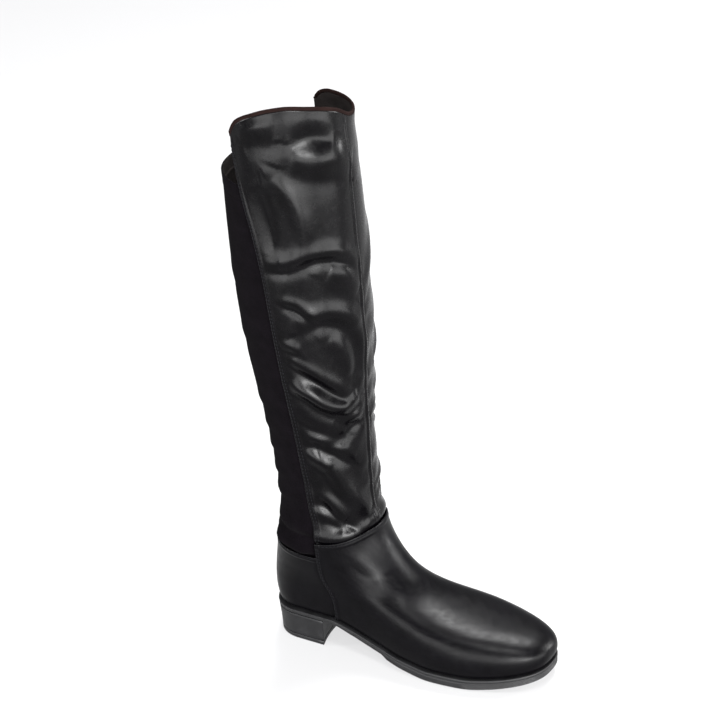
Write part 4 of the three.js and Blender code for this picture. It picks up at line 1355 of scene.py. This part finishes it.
class BOOT_OT_stitches(bpy.types.Operator):
    """Sews the seams, hems and zip edges"""

    bl_idname = "boot.stitches"
    bl_label = "Stitches"

    def execute(self, context):
        self.shaft_rows()
        self.foot_rows()
        return {"FINISHED"}

    def shaft_rows(self):
        sheet, relief = finished_shaft()
        rows = []
        first = np.argmax(sheet.above_low[0] > LAP + 1)
        for distance in (2.2, 5.0):
            rows.append(self.edge_row(sheet, relief, sheet.from_start, distance, first))
        first = np.argmax(sheet.above_low[-1] > LAP + 1)
        rows.append(self.edge_row(sheet, relief, sheet.from_end, 2.4, first))
        stitch_rows("shaft_stitches", rows)

    def edge_row(self, sheet, relief, measure, distance, first):
        """A row at a distance from a side edge."""
        points, normals = [], []
        for row in range(first, sheet.turn.shape[1] - 3):
            order = np.argsort(measure[:, row])
            turn = np.interp(distance, measure[order, row], sheet.turn[order, row])
            level = np.interp(distance, measure[order, row], sheet.level[order, row])
            offset = np.interp(distance, measure[order, row], relief[order, row])
            points.append(surface(turn, level, offset + 0.1))
            normals.append(form_normal(turn, level))
        return np.array(points), np.array(normals)

    def foot_rows(self):
        rows = []
        turns = np.linspace(SIDE_SEAM + 0.008, ZIP_AT_ANKLE - 0.016, 240)
        level = level_at(turns, vamp_top(turns) - 2.2)
        rows.append((surface(turns, level, VAMP_STEP + 0.3), form_normal(turns, level)))
        turns = np.linspace(ZIP_AT_ANKLE + 0.016, 1 + SIDE_SEAM - 0.006, 200)
        level = level_at(turns, COUNTER_TOP - 2.2)
        rows.append((surface(turns, level, 0.4), form_normal(turns, level)))
        levels = np.linspace(0.4, float(level_at(SIDE_SEAM, VAMP_TOP_SIDE - 3)), 120)
        for distance in (1.4, 3.2):
            turns = SIDE_SEAM + turn_of(distance, SIDE_SEAM, levels)
            rows.append((surface(turns, levels, VAMP_STEP + 0.62), form_normal(turns, levels)))
        stitch_rows("foot_stitches", rows)


CAMERA_TURN = 32
CAMERA_RISE = 29
CAMERA_ROLL = -4
CAMERA_DISTANCE = 2.5
FRAME_HEIGHT = 0.5883
AIM = (0.064, 0.0, 0.2734)


# Softboxes: name, place, aim, width and height in metres, watts.
MIDDLE = (0.03, 0, 0.25)
SOFTBOXES = [
    ("left_box", (-2.0, -1.2, 0.9), MIDDLE, (0.35, 1.2), 85),
    ("front_box", (1.7, -1.6, 0.85), MIDDLE, (1.2, 0.5), 190),
    ("rim_box", (1.6, 1.5, 0.8), MIDDLE, (0.25, 1.3), 95),
    ("top_box", (0.75, -0.85, 2.4), (0.1, 0, 0.1), (0.6, 0.9), 100),
    ("crown_box", (0.02, 0.85, 1.95), (0.12, 0, 0.05), (0.9, 0.7), 185),
]
# Low boxes stand on the floor in an arc: degrees round from the lateral side, and their distance.
LOW_TURNS = (-4, 42, 88)
LOW_DISTANCE = 1.4
LOW_MIDDLE = 0.305


def aimed(thing, place, target, roll=0.0):
    direction = Vector(target) - Vector(place)
    facing = direction.to_track_quat("-Z", "Y").to_matrix()
    thing.location = place
    thing.rotation_euler = (facing @ Matrix.Rotation(roll, 3, "Z")).to_euler()


class BOOT_OT_stage(bpy.types.Operator):
    """Sets the floor, soft studio lights and camera"""

    bl_idname = "boot.stage"
    bl_label = "Stage"

    def execute(self, context):
        self.floor()
        self.lights()
        self.camera(context)
        return {"FINISHED"}

    def floor(self):
        bm = bmesh.new()
        bmesh.ops.create_grid(bm, x_segments=1, y_segments=1, size=30)
        mesh = bpy.data.meshes.new("floor")
        bm.to_mesh(mesh)
        bm.free()
        floor = bpy.data.objects.new("floor", mesh)
        bpy.context.collection.objects.link(floor)
        shader = Shader("floor_paper", (0.07, 0.07, 0.07), 0.6, coordinates="Object")
        shader.set(Emission_Color=(0.99, 0.99, 1, 1), Emission_Strength=0.58)
        floor.data.materials.append(shader.material)
        floor.location.z = -0.0004

    def area(self, name, place, target, size, power):
        data = bpy.data.lights.new(name, "AREA")
        data.shape = "RECTANGLE"
        data.size, data.size_y = size
        data.energy = power
        light = bpy.data.objects.new(name, data)
        light.visible_camera = False
        bpy.context.collection.objects.link(light)
        aimed(light, place, target)

    def lights(self):
        world = bpy.data.worlds.new("studio")
        bpy.context.scene.world = world
        world.use_nodes = True
        world.node_tree.nodes["Background"].inputs[0].default_value = (0.95, 0.96, 1.0, 1)
        world.node_tree.nodes["Background"].inputs[1].default_value = 0.65
        for row in SOFTBOXES[:2]:
            self.area(*row)
        for turn in LOW_TURNS:
            away = math.radians(turn)
            place = (LOW_DISTANCE * math.sin(away), -LOW_DISTANCE * math.cos(away), LOW_MIDDLE)
            self.area(f"low_box_{turn}", place, (0, 0, LOW_MIDDLE), (1.1, 0.6), 50)
        for row in SOFTBOXES[2:]:
            self.area(*row)

    def camera(self, context):
        data = bpy.data.cameras.new("camera")
        camera = bpy.data.objects.new("camera", data)
        bpy.context.collection.objects.link(camera)
        turn, rise = math.radians(CAMERA_TURN), math.radians(CAMERA_RISE)
        away = Vector((math.sin(turn) * math.cos(rise), -math.cos(turn) * math.cos(rise), math.sin(rise)))
        place = Vector(AIM) + away * CAMERA_DISTANCE
        aimed(camera, place, AIM, math.radians(CAMERA_ROLL))
        data.sensor_fit = "HORIZONTAL"
        data.angle = 2 * math.atan(FRAME_HEIGHT / 2 / CAMERA_DISTANCE)
        data.clip_end = 100
        context.scene.camera = camera
        context.scene.view_settings.view_transform = "Standard"


PIECES = (
    BOOT_OT_stage, BOOT_OT_shaft, BOOT_OT_binding, BOOT_OT_stretch_panel, BOOT_OT_upper, BOOT_OT_zip,
    BOOT_OT_sole, BOOT_OT_stitches,
)


class BOOT_PT_dressing(bpy.types.Panel):
    """Lists the boot's pieces and finishes"""

    bl_idname = "BOOT_PT_dressing"
    bl_label = "Boot"
    bl_space_type = "VIEW_3D"
    bl_region_type = "UI"
    bl_category = "Boot"

    def draw(self, context):
        for name in BootDressing.__annotations__:
            self.layout.prop(context.scene.boot_dressing, name)
        for operator in PIECES:
            self.layout.operator(operator.bl_idname)


def register():
    for part in (BootDressing, *PIECES, BOOT_PT_dressing):
        bpy.utils.register_class(part)
    bpy.types.Scene.boot_dressing = PointerProperty(type=BootDressing)


def unregister():
    del bpy.types.Scene.boot_dressing
    for part in (BOOT_PT_dressing, *reversed(PIECES), BootDressing):
        bpy.utils.unregister_class(part)


def main():
    register()
    for operator in PIECES:
        getattr(bpy.ops.boot, operator.bl_idname.split(".")[1])()


if __name__ == "__main__":
    main()
